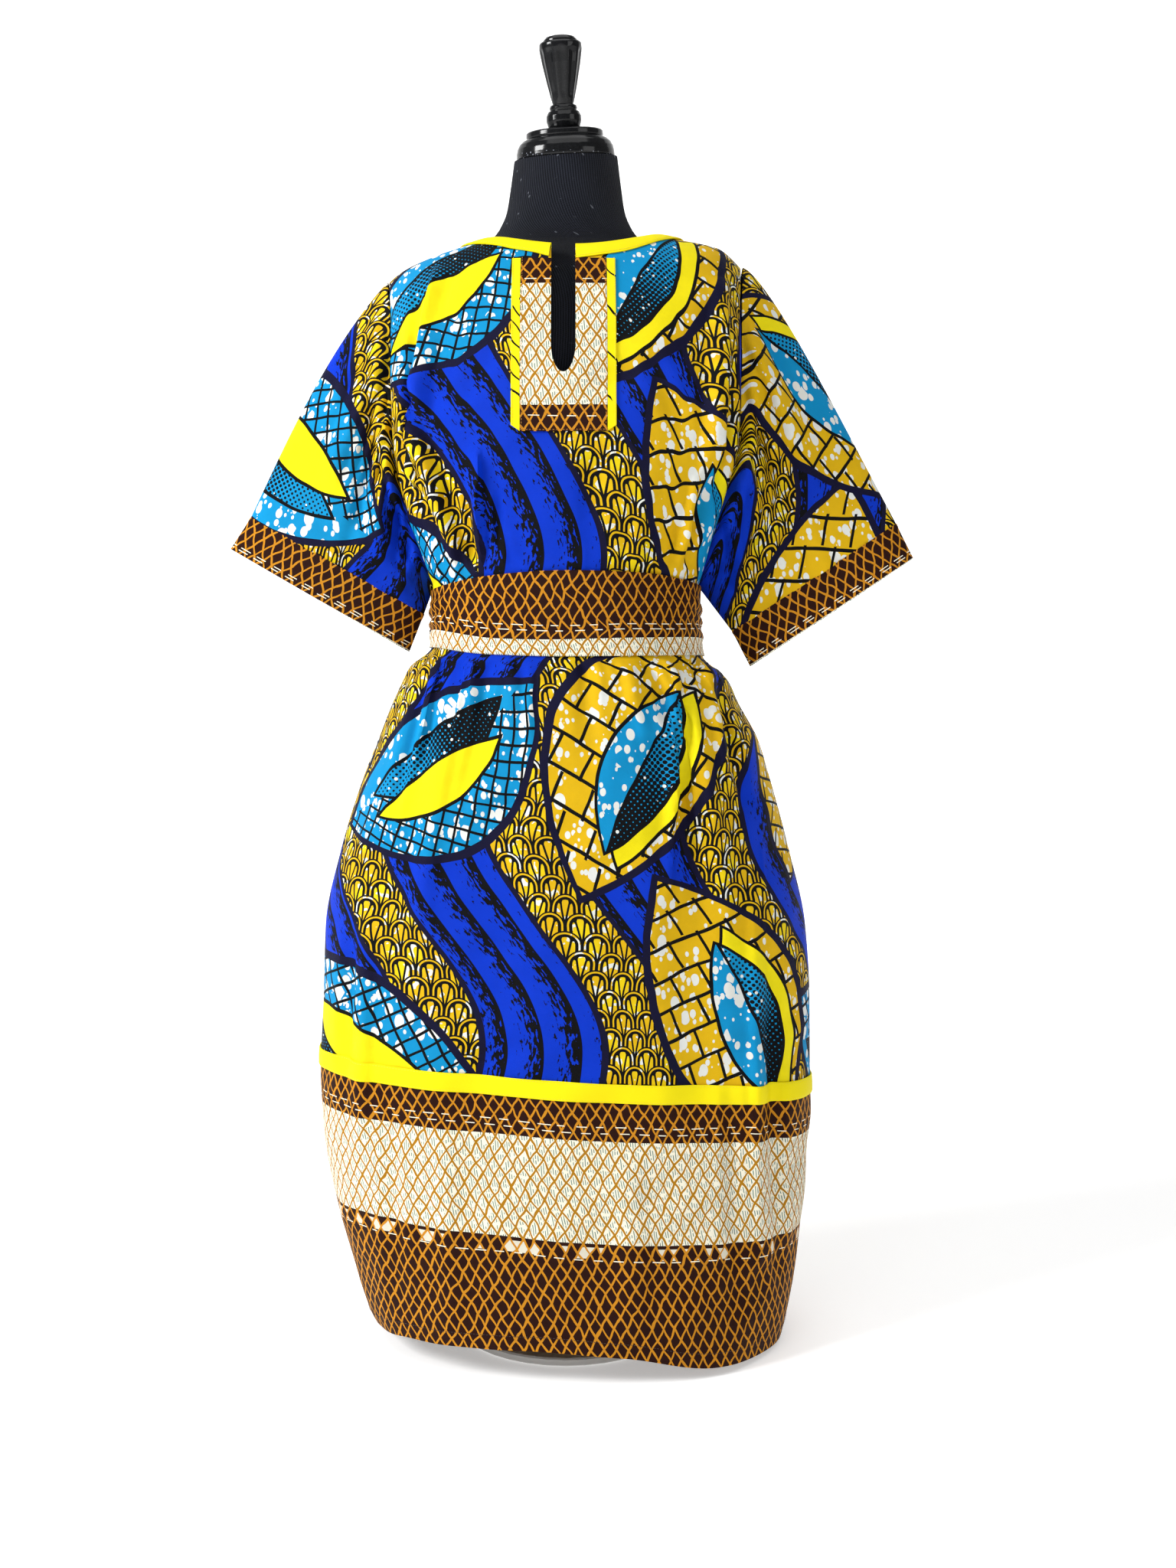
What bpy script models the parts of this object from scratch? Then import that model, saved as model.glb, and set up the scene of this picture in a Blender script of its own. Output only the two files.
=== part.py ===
"""A wax-print shift dress with a tied sash, standing on its limbless dress form.

Metres, Z up, the wearer faces -Y and the image's right is +X.
The origin is on the floor at the middle of the form's round base.
"""
from bisect import bisect_right
from collections import namedtuple
from math import cos, pi, radians, sin, tan

import bmesh
import bpy
from mathutils import Matrix, Vector

COLLECTION_NAME = "shift_dress_on_form"
CUTTER_COLLECTION_NAME = "cutters"

# Cloth and seams
CLOTH = 0.0014
TRIM_CLOTH = 0.0011
SASH_CLOTH = 0.0018
SEAM_GAP = 0.0003
SHOULDER_GAP = 0.0006
LAY_GAP = 0.0004
SASH_GAP = 0.0009
BINDING_GAP = 0.0009
BINDING_CORNER_RISE = 1.3

# Body of the dress
UNDERARM_HEIGHT = 0.770
SHOULDER_POWER = 3.0
SECTION_POWER = 2.2
ARMHOLE_DEPTH = 0.050
ARMHOLE_POWER = 0.6
PANEL_END_BELOW_BAND = 0.011

# Hip band and border
BAND_HEIGHT = 0.2772
BAND_SLOPE = -0.056
BAND_WIDTH = 0.018

# Neckline, seen from above an ellipse
NECK_CENTRE_X = 0.006
NECK_HALF_WIDTH = 0.1045
NECK_FRONT_DEPTH = 0.0680
NECK_BACK_DEPTH = 0.0640
BINDING_WIDTH = 0.0115

# Front opening and its facing
SLIT_CENTRE_X = -0.0025
SLIT_HALF_WIDTH = 0.0120
SLIT_FOOT_HEIGHT = 0.9646
SLIT_ROUNDING = 0.030
SLIT_STEPS = 12
CUTTER_HALF_DEPTH = 0.060
CUTTER_PLACE_Y = -0.105
FACING_LEFT = -0.0443
FACING_RIGHT = 0.0400
FACING_TOP = 1.0860
FACING_FOOT = 0.9075
SIDE_STRIP_WIDTH = 0.0085
SIDE_STRIP_RISE = 0.006

# Mesh fineness
COLUMNS = {-1: 36, 1: 28}
BORDER_ROWS = 4
BINDING_ROWS = 4
CELL_MARGIN = 0.2
SLEEVE_ROWS = 8

# Dress form and stand
HEAD_TILT = radians(-3.0)
HEAD_LEAN = radians(14.0)
NECK_TOP_HEIGHT = 1.2143
POLE_RADIUS = 0.0125
BASE_RADIUS = 0.112
BASE_THICKNESS = 0.008
BASE_EDGE = 0.0015
POLE_SEGMENTS = 16
BASE_SEGMENTS = 36
TORSO_FOOT = 0.445
TURN_STEPS = 18

Level = namedtuple("Level", "z left right front back")
BODY_LEVELS = [
    Level(z=0.0050, left=0.190, right=0.2240, front=0.163, back=0.161),
    Level(z=0.0338, left=0.206, right=0.2312, front=0.158, back=0.157),
    Level(z=0.0722, left=0.219, right=0.2384, front=0.150, back=0.150),
    Level(z=0.1106, left=0.231, right=0.2432, front=0.142, back=0.143),
    Level(z=0.1490, left=0.241, right=0.2488, front=0.133, back=0.135),
    Level(z=0.1874, left=0.249, right=0.2505, front=0.124, back=0.127),
    Level(z=0.2258, left=0.253, right=0.2550, front=0.117, back=0.121),
    Level(z=0.2642, left=0.255, right=0.2540, front=0.113, back=0.118),
    Level(z=0.3410, left=0.252, right=0.2536, front=0.117, back=0.122),
    Level(z=0.4178, left=0.2496, right=0.2488, front=0.123, back=0.130),
    Level(z=0.4946, left=0.2336, right=0.2320, front=0.129, back=0.137),
    Level(z=0.5714, left=0.2096, right=0.2112, front=0.131, back=0.140),
    Level(z=0.6098, left=0.1944, right=0.1992, front=0.130, back=0.138),
    Level(z=0.6482, left=0.1792, right=0.1784, front=0.127, back=0.133),
    Level(z=0.6674, left=0.1704, right=0.1700, front=0.123, back=0.128),
    Level(z=0.6780, left=0.1655, right=0.1610, front=0.119, back=0.123),
    Level(z=0.6866, left=0.1595, right=0.1490, front=0.114, back=0.116),
    Level(z=0.6960, left=0.1460, right=0.1415, front=0.1085, back=0.107),
    Level(z=0.7060, left=0.1385, right=0.1395, front=0.1065, back=0.104),
    Level(z=0.7400, left=0.1365, right=0.1365, front=0.1055, back=0.102),
    Level(z=0.7700, left=0.1385, right=0.1385, front=0.1080, back=0.104),
]

Bodice = namedtuple("Bodice", "v left right front back")
BODICE_LEVELS = [
    Bodice(v=0.00, left=0.1385, right=0.1385, front=0.1080, back=0.1040),
    Bodice(v=0.10, left=0.1490, right=0.1470, front=0.1130, back=0.1060),
    Bodice(v=0.22, left=0.1620, right=0.1580, front=0.1190, back=0.1090),
    Bodice(v=0.43, left=0.1744, right=0.1750, front=0.1270, back=0.1150),
    Bodice(v=0.65, left=0.1775, right=0.1775, front=0.1280, back=0.1180),
    Bodice(v=0.85, left=0.1790, right=0.1785, front=0.1200, back=0.1170),
    Bodice(v=1.00, left=0.1840, right=0.1820, front=0.1150, back=0.1150),
]

ShoulderPoint = namedtuple("ShoulderPoint", "x z")
SHOULDER_LINE = [
    ShoulderPoint(x=-0.1840, z=1.0850),
    ShoulderPoint(x=-0.1650, z=1.0960),
    ShoulderPoint(x=-0.1320, z=1.1090),
    ShoulderPoint(x=-0.0992, z=1.1186),
    ShoulderPoint(x=-0.0600, z=1.1275),
    ShoulderPoint(x=0.0000, z=1.1290),
    ShoulderPoint(x=0.0864, z=1.1285),
    ShoulderPoint(x=0.1160, z=1.1245),
    ShoulderPoint(x=0.1560, z=1.1180),
    ShoulderPoint(x=0.1820, z=1.1000),
]

HemPoint = namedtuple("HemPoint", "across z")
FRONT_HEM = [
    HemPoint(across=-1.00, z=0.0160),
    HemPoint(across=-0.75, z=0.0280),
    HemPoint(across=-0.20, z=0.0330),
    HemPoint(across=0.20, z=0.0265),
    HemPoint(across=0.62, z=0.0085),
    HemPoint(across=0.90, z=0.0060),
    HemPoint(across=1.00, z=0.0070),
]
BACK_HEM = [
    HemPoint(across=-1.00, z=0.0160),
    HemPoint(across=0.00, z=0.0190),
    HemPoint(across=1.00, z=0.0070),
]

SashEdge = namedtuple("SashEdge", "across top foot")
FRONT_SASH = [
    SashEdge(across=-1.0, top=0.7620, foot=0.7030),
    SashEdge(across=-0.5, top=0.7715, foot=0.6925),
    SashEdge(across=0.0, top=0.7748, foot=0.6900),
    SashEdge(across=0.6, top=0.7735, foot=0.6915),
    SashEdge(across=1.0, top=0.7665, foot=0.6945),
]
BACK_SASH = [
    SashEdge(across=-1.0, top=0.7620, foot=0.7030),
    SashEdge(across=0.0, top=0.7600, foot=0.7040),
    SashEdge(across=1.0, top=0.7665, foot=0.6945),
]

# Heights of the skirt rows, closer together where the cloth puffs out under the sash
SKIRT_ROW_HEIGHTS = [
    0.3100, 0.3600, 0.4100, 0.4600, 0.5100, 0.5500, 0.5900, 0.6250,
    0.6500, 0.6680, 0.6800, 0.6900, 0.7000, 0.7350, 0.7700,
]
SASH_FOOT_ROW = 0.6900
SASH_ROW_HEIGHTS = [0.6900, 0.7000, 0.7350]
FOOT_ROWS_FROM = 0.6000

# Places of the bodice rows, from the underarm to the shoulder, closest where it turns over
BODICE_ROW_SHARES = [0.08, 0.18, 0.29, 0.41, 0.53, 0.64, 0.74, 0.83, 0.90, 0.95, 0.98, 0.994, 1.0]

# A fold runs down the cloth: a ridge has a positive height and a trough a negative one
Fold = namedtuple("Fold", "across width height top foot drift")
FRONT_FOLDS = [
    Fold(across=-0.86, width=0.060, height=0.0050, top=0.694, foot=0.50, drift=0.06),
    Fold(across=-0.74, width=0.055, height=-0.0060, top=0.692, foot=0.42, drift=0.10),
    Fold(across=-0.60, width=0.070, height=0.0055, top=0.690, foot=0.36, drift=0.04),
    Fold(across=-0.44, width=0.060, height=-0.0055, top=0.690, foot=0.48, drift=-0.02),
    Fold(across=-0.28, width=0.070, height=0.0040, top=0.689, foot=0.55, drift=-0.04),
    Fold(across=0.10, width=0.090, height=-0.0030, top=0.689, foot=0.50, drift=0.02),
    Fold(across=0.36, width=0.060, height=0.0040, top=0.690, foot=0.52, drift=0.06),
    Fold(across=0.52, width=0.055, height=-0.0065, top=0.690, foot=0.38, drift=0.02),
    Fold(across=0.66, width=0.060, height=0.0060, top=0.691, foot=0.36, drift=0.00),
    Fold(across=0.80, width=0.050, height=-0.0060, top=0.692, foot=0.50, drift=0.05),
    Fold(across=-0.30, width=0.240, height=-0.0060, top=0.560, foot=0.10, drift=0.00),
    Fold(across=0.46, width=0.150, height=-0.0070, top=0.620, foot=0.16, drift=0.06),
    Fold(across=-0.72, width=0.090, height=-0.0045, top=0.905, foot=0.776, drift=0.12),
    Fold(across=-0.50, width=0.080, height=0.0045, top=0.930, foot=0.776, drift=0.05),
    Fold(across=-0.30, width=0.070, height=-0.0040, top=0.860, foot=0.777, drift=0.03),
    Fold(across=0.56, width=0.090, height=0.0045, top=0.920, foot=0.776, drift=-0.08),
    Fold(across=0.76, width=0.070, height=-0.0050, top=0.910, foot=0.774, drift=-0.10),
    Fold(across=-0.86, width=0.050, height=-0.0060, top=1.040, foot=0.860, drift=0.00),
    Fold(across=0.88, width=0.050, height=-0.0060, top=1.050, foot=0.850, drift=0.00),
]
BACK_FOLDS = [
    Fold(across=-0.78, width=0.080, height=-0.0060, top=0.692, foot=0.44, drift=0.06),
    Fold(across=-0.58, width=0.080, height=0.0060, top=0.692, foot=0.36, drift=0.04),
    Fold(across=-0.36, width=0.080, height=-0.0055, top=0.692, foot=0.40, drift=0.00),
    Fold(across=0.36, width=0.080, height=-0.0055, top=0.692, foot=0.42, drift=0.02),
    Fold(across=0.58, width=0.080, height=0.0060, top=0.690, foot=0.38, drift=-0.02),
    Fold(across=0.78, width=0.070, height=-0.0060, top=0.690, foot=0.48, drift=0.00),
    Fold(across=0.00, width=0.260, height=-0.0060, top=0.560, foot=0.12, drift=0.00),
    Fold(across=-0.46, width=0.100, height=0.0045, top=0.930, foot=0.776, drift=0.04),
    Fold(across=0.44, width=0.100, height=0.0045, top=0.930, foot=0.776, drift=-0.04),
    Fold(across=0.00, width=0.120, height=-0.0040, top=0.900, foot=0.776, drift=0.00),
]
FOLD_FADE = 0.16
FOLD_START = 0.014

# Sleeves: where each ring's upper and under edges lie in the front view
SleeveEnds = namedtuple("SleeveEnds", "side upper_x upper_z under_x under_z")
CUFF_SEAM = [
    SleeveEnds(side=-1, upper_x=0.3264, upper_z=0.8378, under_x=0.1490, under_z=0.7385),
    SleeveEnds(side=1, upper_x=0.3424, upper_z=0.8314, under_x=0.1744, under_z=0.7210),
]
CUFF_HEM = [
    SleeveEnds(side=-1, upper_x=0.3472, upper_z=0.8058, under_x=0.1640, under_z=0.7000),
    SleeveEnds(side=1, upper_x=0.3600, upper_z=0.7962, under_x=0.1928, under_z=0.6850),
]
SLEEVE_BULGE = 0.011
SLEEVE_BULGE_SKEW = {-1: 0.75, 1: 0.50}
BULGE_OUT = 0.87
BULGE_UP = 0.50
CUFF_HALF_DEPTH = 0.021
CUFF_HEM_SPREAD = 1.05
CUFF_FORWARD = 0.008
CUFF_FULLNESS = 0.55
CUFF_GAP_SHARE = 0.012
SLEEVE_START = 0.0025
SLEEVE_END = 0.9988
SLEEVE_ROW_SPACING = 0.9

# A fold in a sleeve: along is its place from the upper edge (0) to the under edge (1)
SleeveFold = namedtuple("SleeveFold", "along width height start end drift")
SLEEVE_FOLDS = [
    SleeveFold(along=0.22, width=0.09, height=0.010, start=0.02, end=0.75, drift=0.10),
    SleeveFold(along=0.42, width=0.08, height=-0.010, start=0.02, end=0.70, drift=0.12),
    SleeveFold(along=0.60, width=0.09, height=0.011, start=0.02, end=0.80, drift=0.10),
    SleeveFold(along=0.80, width=0.07, height=-0.008, start=0.02, end=0.60, drift=0.06),
]

# Dress form: half width, front and back half depth at each height
FormLevel = namedtuple("FormLevel", "z half_width front back")
FORM_LEVELS = [
    FormLevel(z=0.4450, half_width=0.1500, front=0.104, back=0.108),
    FormLevel(z=0.4530, half_width=0.1600, front=0.112, back=0.116),
    FormLevel(z=0.5000, half_width=0.1665, front=0.116, back=0.121),
    FormLevel(z=0.5600, half_width=0.1670, front=0.114, back=0.122),
    FormLevel(z=0.6300, half_width=0.1480, front=0.104, back=0.110),
    FormLevel(z=0.6900, half_width=0.1270, front=0.094, back=0.094),
    FormLevel(z=0.7350, half_width=0.1220, front=0.090, back=0.088),
    FormLevel(z=0.7900, half_width=0.1270, front=0.096, back=0.090),
    FormLevel(z=0.8600, half_width=0.1380, front=0.108, back=0.095),
    FormLevel(z=0.9200, half_width=0.1470, front=0.113, back=0.099),
    FormLevel(z=0.9800, half_width=0.1520, front=0.106, back=0.101),
    FormLevel(z=1.0300, half_width=0.1580, front=0.091, back=0.096),
    FormLevel(z=1.0650, half_width=0.1640, front=0.076, back=0.082),
    FormLevel(z=1.0832, half_width=0.1655, front=0.0660, back=0.068),
    FormLevel(z=1.0931, half_width=0.1605, front=0.0595, back=0.060),
    FormLevel(z=1.1003, half_width=0.1450, front=0.0560, back=0.055),
    FormLevel(z=1.1078, half_width=0.1240, front=0.0550, back=0.053),
    FormLevel(z=1.1154, half_width=0.0980, front=0.0540, back=0.051),
    FormLevel(z=1.1258, half_width=0.0800, front=0.0540, back=0.052),
    FormLevel(z=1.1378, half_width=0.0700, front=0.0535, back=0.052),
    FormLevel(z=1.1570, half_width=0.0618, front=0.0535, back=0.052),
    FormLevel(z=1.1800, half_width=0.0582, front=0.0520, back=0.051),
    FormLevel(z=1.2143, half_width=0.0538, front=0.0505, back=0.050),
]
FORM_COLUMNS = 26
FORM_TILT_FROM = 1.1450

# Turned pieces: radius and height above the neck's top face
TurnPoint = namedtuple("TurnPoint", "r h")
CAP_PROFILE = [
    TurnPoint(r=0.0000, h=0.0279), TurnPoint(r=0.0383, h=0.0275),
    TurnPoint(r=0.0400, h=0.0263), TurnPoint(r=0.0403, h=0.0223),
    TurnPoint(r=0.0397, h=0.0210), TurnPoint(r=0.0447, h=0.0184),
    TurnPoint(r=0.0479, h=0.0153), TurnPoint(r=0.0501, h=0.0112),
    TurnPoint(r=0.0515, h=0.0019), TurnPoint(r=0.0508, h=0.0005),
    TurnPoint(r=0.0000, h=0.0004),
]
FINIAL_PROFILE = [
    TurnPoint(r=0.0000, h=0.1209), TurnPoint(r=0.0088, h=0.1202),
    TurnPoint(r=0.0147, h=0.1184), TurnPoint(r=0.0173, h=0.1156),
    TurnPoint(r=0.0175, h=0.1143), TurnPoint(r=0.0201, h=0.1137),
    TurnPoint(r=0.0217, h=0.1121), TurnPoint(r=0.0220, h=0.1070),
    TurnPoint(r=0.0197, h=0.0930), TurnPoint(r=0.0158, h=0.0744),
    TurnPoint(r=0.0123, h=0.0595), TurnPoint(r=0.0107, h=0.0537),
    TurnPoint(r=0.0135, h=0.0526), TurnPoint(r=0.0144, h=0.0502),
    TurnPoint(r=0.0137, h=0.0478), TurnPoint(r=0.0161, h=0.0465),
    TurnPoint(r=0.0181, h=0.0423), TurnPoint(r=0.0183, h=0.0377),
    TurnPoint(r=0.0167, h=0.0321), TurnPoint(r=0.0143, h=0.0284),
    TurnPoint(r=0.0000, h=0.0283),
]

# Knot and ends of the sash, tied at the back
KNOT_SIZE = (0.034, 0.017, 0.027)
KNOT_HEIGHT = 0.7330
KNOT_SEGMENTS = 14
KNOT_RINGS = 9
SashTail = namedtuple("SashTail", "name first_column last_column foot")
SASH_TAILS = [
    SashTail(name="sash_tail_left", first_column=10, last_column=13, foot=0.455),
    SashTail(name="sash_tail_right", first_column=15, last_column=18, foot=0.405),
]
TAIL_TOP = 0.6820
TAIL_GAP = 0.0008

Finish = namedtuple("Finish", "name colour roughness metallic")
WAX_PRINT = Finish("wax_print_cotton", (0.05, 0.12, 0.62), 0.62, 0.0)
NET_PRINT = Finish("net_print_cotton", (0.20, 0.08, 0.03), 0.66, 0.0)
YELLOW_COTTON = Finish("yellow_cotton", (0.90, 0.80, 0.03), 0.60, 0.0)
BLACK_KNIT = Finish("black_knit", (0.012, 0.013, 0.018), 0.92, 0.0)
BLACK_LACQUER = Finish("black_lacquer", (0.006, 0.006, 0.006), 0.16, 0.0)
PALE_METAL = Finish("pale_coated_metal", (0.75, 0.75, 0.74), 0.42, 0.0)


def smooth_curve(rows, key, value):
    """Give a smooth function through two columns of a table, which never overshoots."""
    xs = [getattr(row, key) for row in rows]
    ys = [getattr(row, value) for row in rows]
    steps = [(ys[i + 1] - ys[i]) / (xs[i + 1] - xs[i]) for i in range(len(xs) - 1)]
    slopes = [steps[0]]
    for before, after in zip(steps, steps[1:]):
        turning = before * after <= 0.0
        slopes.append(0.0 if turning else 2.0 * before * after / (before + after))
    slopes.append(steps[-1])

    def at(x):
        x = min(max(x, xs[0]), xs[-1])
        i = min(bisect_right(xs, x) - 1, len(xs) - 2)
        span = xs[i + 1] - xs[i]
        t = (x - xs[i]) / span
        start = (1.0 + 2.0 * t) * (1.0 - t) ** 2 * ys[i] + t * (1.0 - t) ** 2 * span * slopes[i]
        end = t * t * (3.0 - 2.0 * t) * ys[i + 1] + t * t * (t - 1.0) * span * slopes[i + 1]
        return start + end

    return at


def ramp(x, low, high):
    """Rise smoothly from 0 at low to 1 at high."""
    t = min(max((x - low) / (high - low), 0.0), 1.0)
    return t * t * (3.0 - 2.0 * t)


def mix(a, b, t):
    """Go from a to b as t goes from 0 to 1."""
    return a + (b - a) * t


def bump(x):
    """A soft hump, 1 at zero and nothing beyond 1."""
    return (1.0 - x * x) ** 2 if abs(x) < 1.0 else 0.0


body_left = smooth_curve(BODY_LEVELS, "z", "left")
body_right = smooth_curve(BODY_LEVELS, "z", "right")
body_depth = {-1: smooth_curve(BODY_LEVELS, "z", "front"), 1: smooth_curve(BODY_LEVELS, "z", "back")}
bodice_left = smooth_curve(BODICE_LEVELS, "v", "left")
bodice_right = smooth_curve(BODICE_LEVELS, "v", "right")
bodice_depth = {-1: smooth_curve(BODICE_LEVELS, "v", "front"),
                1: smooth_curve(BODICE_LEVELS, "v", "back")}
shoulder_height = smooth_curve(SHOULDER_LINE, "x", "z")
hem_height = {-1: smooth_curve(FRONT_HEM, "across", "z"), 1: smooth_curve(BACK_HEM, "across", "z")}
sash_top = {-1: smooth_curve(FRONT_SASH, "across", "top"), 1: smooth_curve(BACK_SASH, "across", "top")}
sash_foot = {-1: smooth_curve(FRONT_SASH, "across", "foot"),
             1: smooth_curve(BACK_SASH, "across", "foot")}
FOLDS = {-1: FRONT_FOLDS, 1: BACK_FOLDS}


def rounding(across):
    """Share of the depth that a section keeps at a place across it, 0 at its sides."""
    return max(1.0 - abs(across) ** SECTION_POWER, 0.0) ** (1.0 / SECTION_POWER)


def fold_height(face, across, z):
    """Sum of the folds' heights at one place of the front (face -1) or the back (face 1)."""
    total = 0.0
    for fold in FOLDS[face]:
        if not fold.foot < z < fold.top:
            continue
        fall = (fold.top - z) / (fold.top - fold.foot)
        place = fold.across + fold.drift * fall
        fade = ramp(fold.top - z, 0.0, FOLD_START) * ramp(z - fold.foot, 0.0, FOLD_FADE)
        if fold.foot > UNDERARM_HEIGHT:
            fade = ramp(z - fold.foot, 0.0, FOLD_START) * ramp(fold.top - z, 0.0, FOLD_FADE)
        total += fold.height * fade * bump((across - place) / fold.width)
    return total


def skirt_point(face, across, z):
    """A point of the dress's outer face below the underarm."""
    left, right = body_left(z), body_right(z)
    x = 0.5 * (right - left) + 0.5 * (right + left) * across
    depth = body_depth[face](z) * rounding(across)
    depth += fold_height(face, across, z) * rounding(across) ** 0.5
    return Vector((x, face * max(depth, SEAM_GAP), z))


def armhole_depth(v):
    """Half the depth of the armhole at a share v of the way up it."""
    return ARMHOLE_DEPTH * max(sin(pi * min(max(v, 0.0), 1.0)), 0.0) ** ARMHOLE_POWER


def bodice_point(face, across, v):
    """A point of the outer face between the underarm (v 0) and the shoulder (v 1)."""
    left, right = bodice_left(v), bodice_right(v)
    x = 0.5 * (right - left) + 0.5 * (right + left) * across
    end_x = 0.5 * (bodice_right(1.0) - bodice_left(1.0))
    end_x += 0.5 * (bodice_right(1.0) + bodice_left(1.0)) * across
    z = mix(UNDERARM_HEIGHT, shoulder_height(end_x), v)
    arch = max(1.0 - v ** SHOULDER_POWER, 0.0) ** (1.0 / SHOULDER_POWER)
    middle = bodice_depth[face](v) * arch
    edge = min(armhole_depth(v), middle)
    depth = edge + (middle - edge) * rounding(across)
    depth += fold_height(face, across, z) * rounding(across) ** 0.5 * arch
    return Vector((x, face * max(depth, SHOULDER_GAP), z))


def neck_limit(face, across):
    """Share v at which a column meets the neckline, or 1 where it reaches the shoulder."""
    reach = NECK_FRONT_DEPTH if face < 0 else NECK_BACK_DEPTH

    def outside(v):
        point = bodice_point(face, across, v)
        return ((point.x - NECK_CENTRE_X) / NECK_HALF_WIDTH) ** 2 + (point.y / reach) ** 2 > 1.0

    return search(0.3, 1.0, outside)


def panel_across(face):
    """Places across the front (face -1) or back (face 1), closer together at its side seams."""
    count = COLUMNS[face]
    return [sin(pi * (i / count - 0.5)) for i in range(count + 1)]


def skirt_row(face, height):
    """One row of a panel below the underarm, in line with the hip band or the sash near it."""
    share = max((height - BAND_HEIGHT) / (UNDERARM_HEIGHT - BAND_HEIGHT), 0.0)
    slope = BAND_SLOPE * (1.0 - share) ** 2
    near_sash = ramp(height, FOOT_ROWS_FROM, SASH_FOOT_ROW) * ramp(height, UNDERARM_HEIGHT, 0.70)
    row = []
    for across in panel_across(face):
        x = skirt_point(face, across, BAND_HEIGHT).x
        rise = near_sash * (sash_foot[face](across) - SASH_FOOT_ROW)
        row.append(skirt_point(face, across, height + slope * x + rise))
    return row


def panel_rows(face):
    """Rows of points of the front or the back, from the hip band up to shoulder and neck."""
    heights = [BAND_HEIGHT - PANEL_END_BELOW_BAND, BAND_HEIGHT] + SKIRT_ROW_HEIGHTS
    rows = [skirt_row(face, height) for height in heights]
    acrosses = panel_across(face)
    limits = [neck_limit(face, across) for across in acrosses]
    for share in BODICE_ROW_SHARES:
        rows.append([bodice_point(face, a, limit * share) for a, limit in zip(acrosses, limits)])
    return rows


def border_rows(face):
    """Rows of points of the border, from the hem up to its seam under the hip band."""
    seam = skirt_row(face, BAND_HEIGHT - PANEL_END_BELOW_BAND - SEAM_GAP)
    under_band = skirt_row(face, BAND_HEIGHT - BAND_WIDTH)
    rows = []
    for j in range(BORDER_ROWS):
        row = []
        for across, top in zip(panel_across(face), under_band):
            z = mix(hem_height[face](across), top.z, j / BORDER_ROWS)
            row.append(skirt_point(face, across, z))
        rows.append(row)
    return rows + [under_band, seam]


def whole_ring(front_row, back_row):
    """Join a row of the front and one of the back into a ring, counter-clockwise from above."""
    return front_row + back_row[-2:0:-1]


def moved_out(points, distance, wrap):
    """Move a row of points out of a ring or a panel, level with the floor."""
    moved = []
    count = len(points)
    for i, point in enumerate(points):
        before = points[(i - 1) % count] if wrap or i > 0 else point
        after = points[(i + 1) % count] if wrap or i < count - 1 else point
        run = after - before
        out = Vector((run.y, -run.x, 0.0)).normalized()
        moved.append(point + out * distance)
    return moved


def band_rows():
    """Rows of the yellow band, laid on the seam between the dress and its border."""
    rows = []
    for drop in (BAND_WIDTH, PANEL_END_BELOW_BAND, 0.0):
        ring = whole_ring(skirt_row(-1, BAND_HEIGHT - drop), skirt_row(1, BAND_HEIGHT - drop))
        rows.append(moved_out(ring, LAY_GAP, True))
    return rows


def waist_point(face, across, z):
    """A point of the dress near the waist, on either side of the underarm's height."""
    if z <= UNDERARM_HEIGHT:
        return skirt_point(face, across, z)
    return bodice_point(face, across, (z - UNDERARM_HEIGHT) / (shoulder_height(0.0) - UNDERARM_HEIGHT))


def sash_rows():
    """Rows of the sash, wrapped round the waist over the dress."""
    rows = [whole_ring(skirt_row(-1, height), skirt_row(1, height)) for height in SASH_ROW_HEIGHTS]
    tops = []
    for face in (-1, 1):
        tops.append([waist_point(face, a, sash_top[face](a)) for a in panel_across(face)])
    rows.append(whole_ring(*tops))
    return [moved_out(ring, SASH_GAP, True) for ring in rows]


def splits_inward(corners):
    """Whether a face is split from its first to its third corner, as it is left of the middle."""
    return sum(corner.x for corner in corners) < 0.0


def on_grid(rows, i, j):
    """A point on a panel's own facets, at a column i and a row j that may be fractions."""
    low_i = min(max(int(i), 0), len(rows[0]) - 2)
    low_j = min(max(int(j), 0), len(rows) - 2)
    u, w = i - low_i, j - low_j
    a, b = rows[low_j][low_i], rows[low_j][low_i + 1]
    d, c = rows[low_j + 1][low_i], rows[low_j + 1][low_i + 1]
    if splits_inward((a, b, c, d)):
        return a + (b - a) * u + (c - b) * w if u > w else a + (d - a) * w + (c - d) * u
    if u + w < 1.0:
        return a + (b - a) * u + (d - a) * w
    return c + (d - c) * (1.0 - u) + (b - c) * (1.0 - w)


def lifted(rows, i, j, distance):
    """The same point moved straight out of the panel."""
    beside = on_grid(rows, i + 0.5, j) - on_grid(rows, i - 0.5, j)
    above = on_grid(rows, i, min(j + 0.5, len(rows) - 1)) - on_grid(rows, i, j - 0.5)
    out = beside.cross(above).normalized()
    face = -1.0 if rows[0][len(rows[0]) // 2].y < 0.0 else 1.0
    if out.dot(Vector((0.0, face, 0.8))) < 0.0:
        out.negate()
    return on_grid(rows, i, j) + out * distance


def search(low, high, is_low):
    """Halve a range until the place where is_low stops being true is found."""
    for _ in range(40):
        middle = 0.5 * (low + high)
        if is_low(middle):
            low = middle
        else:
            high = middle
    return low


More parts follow.
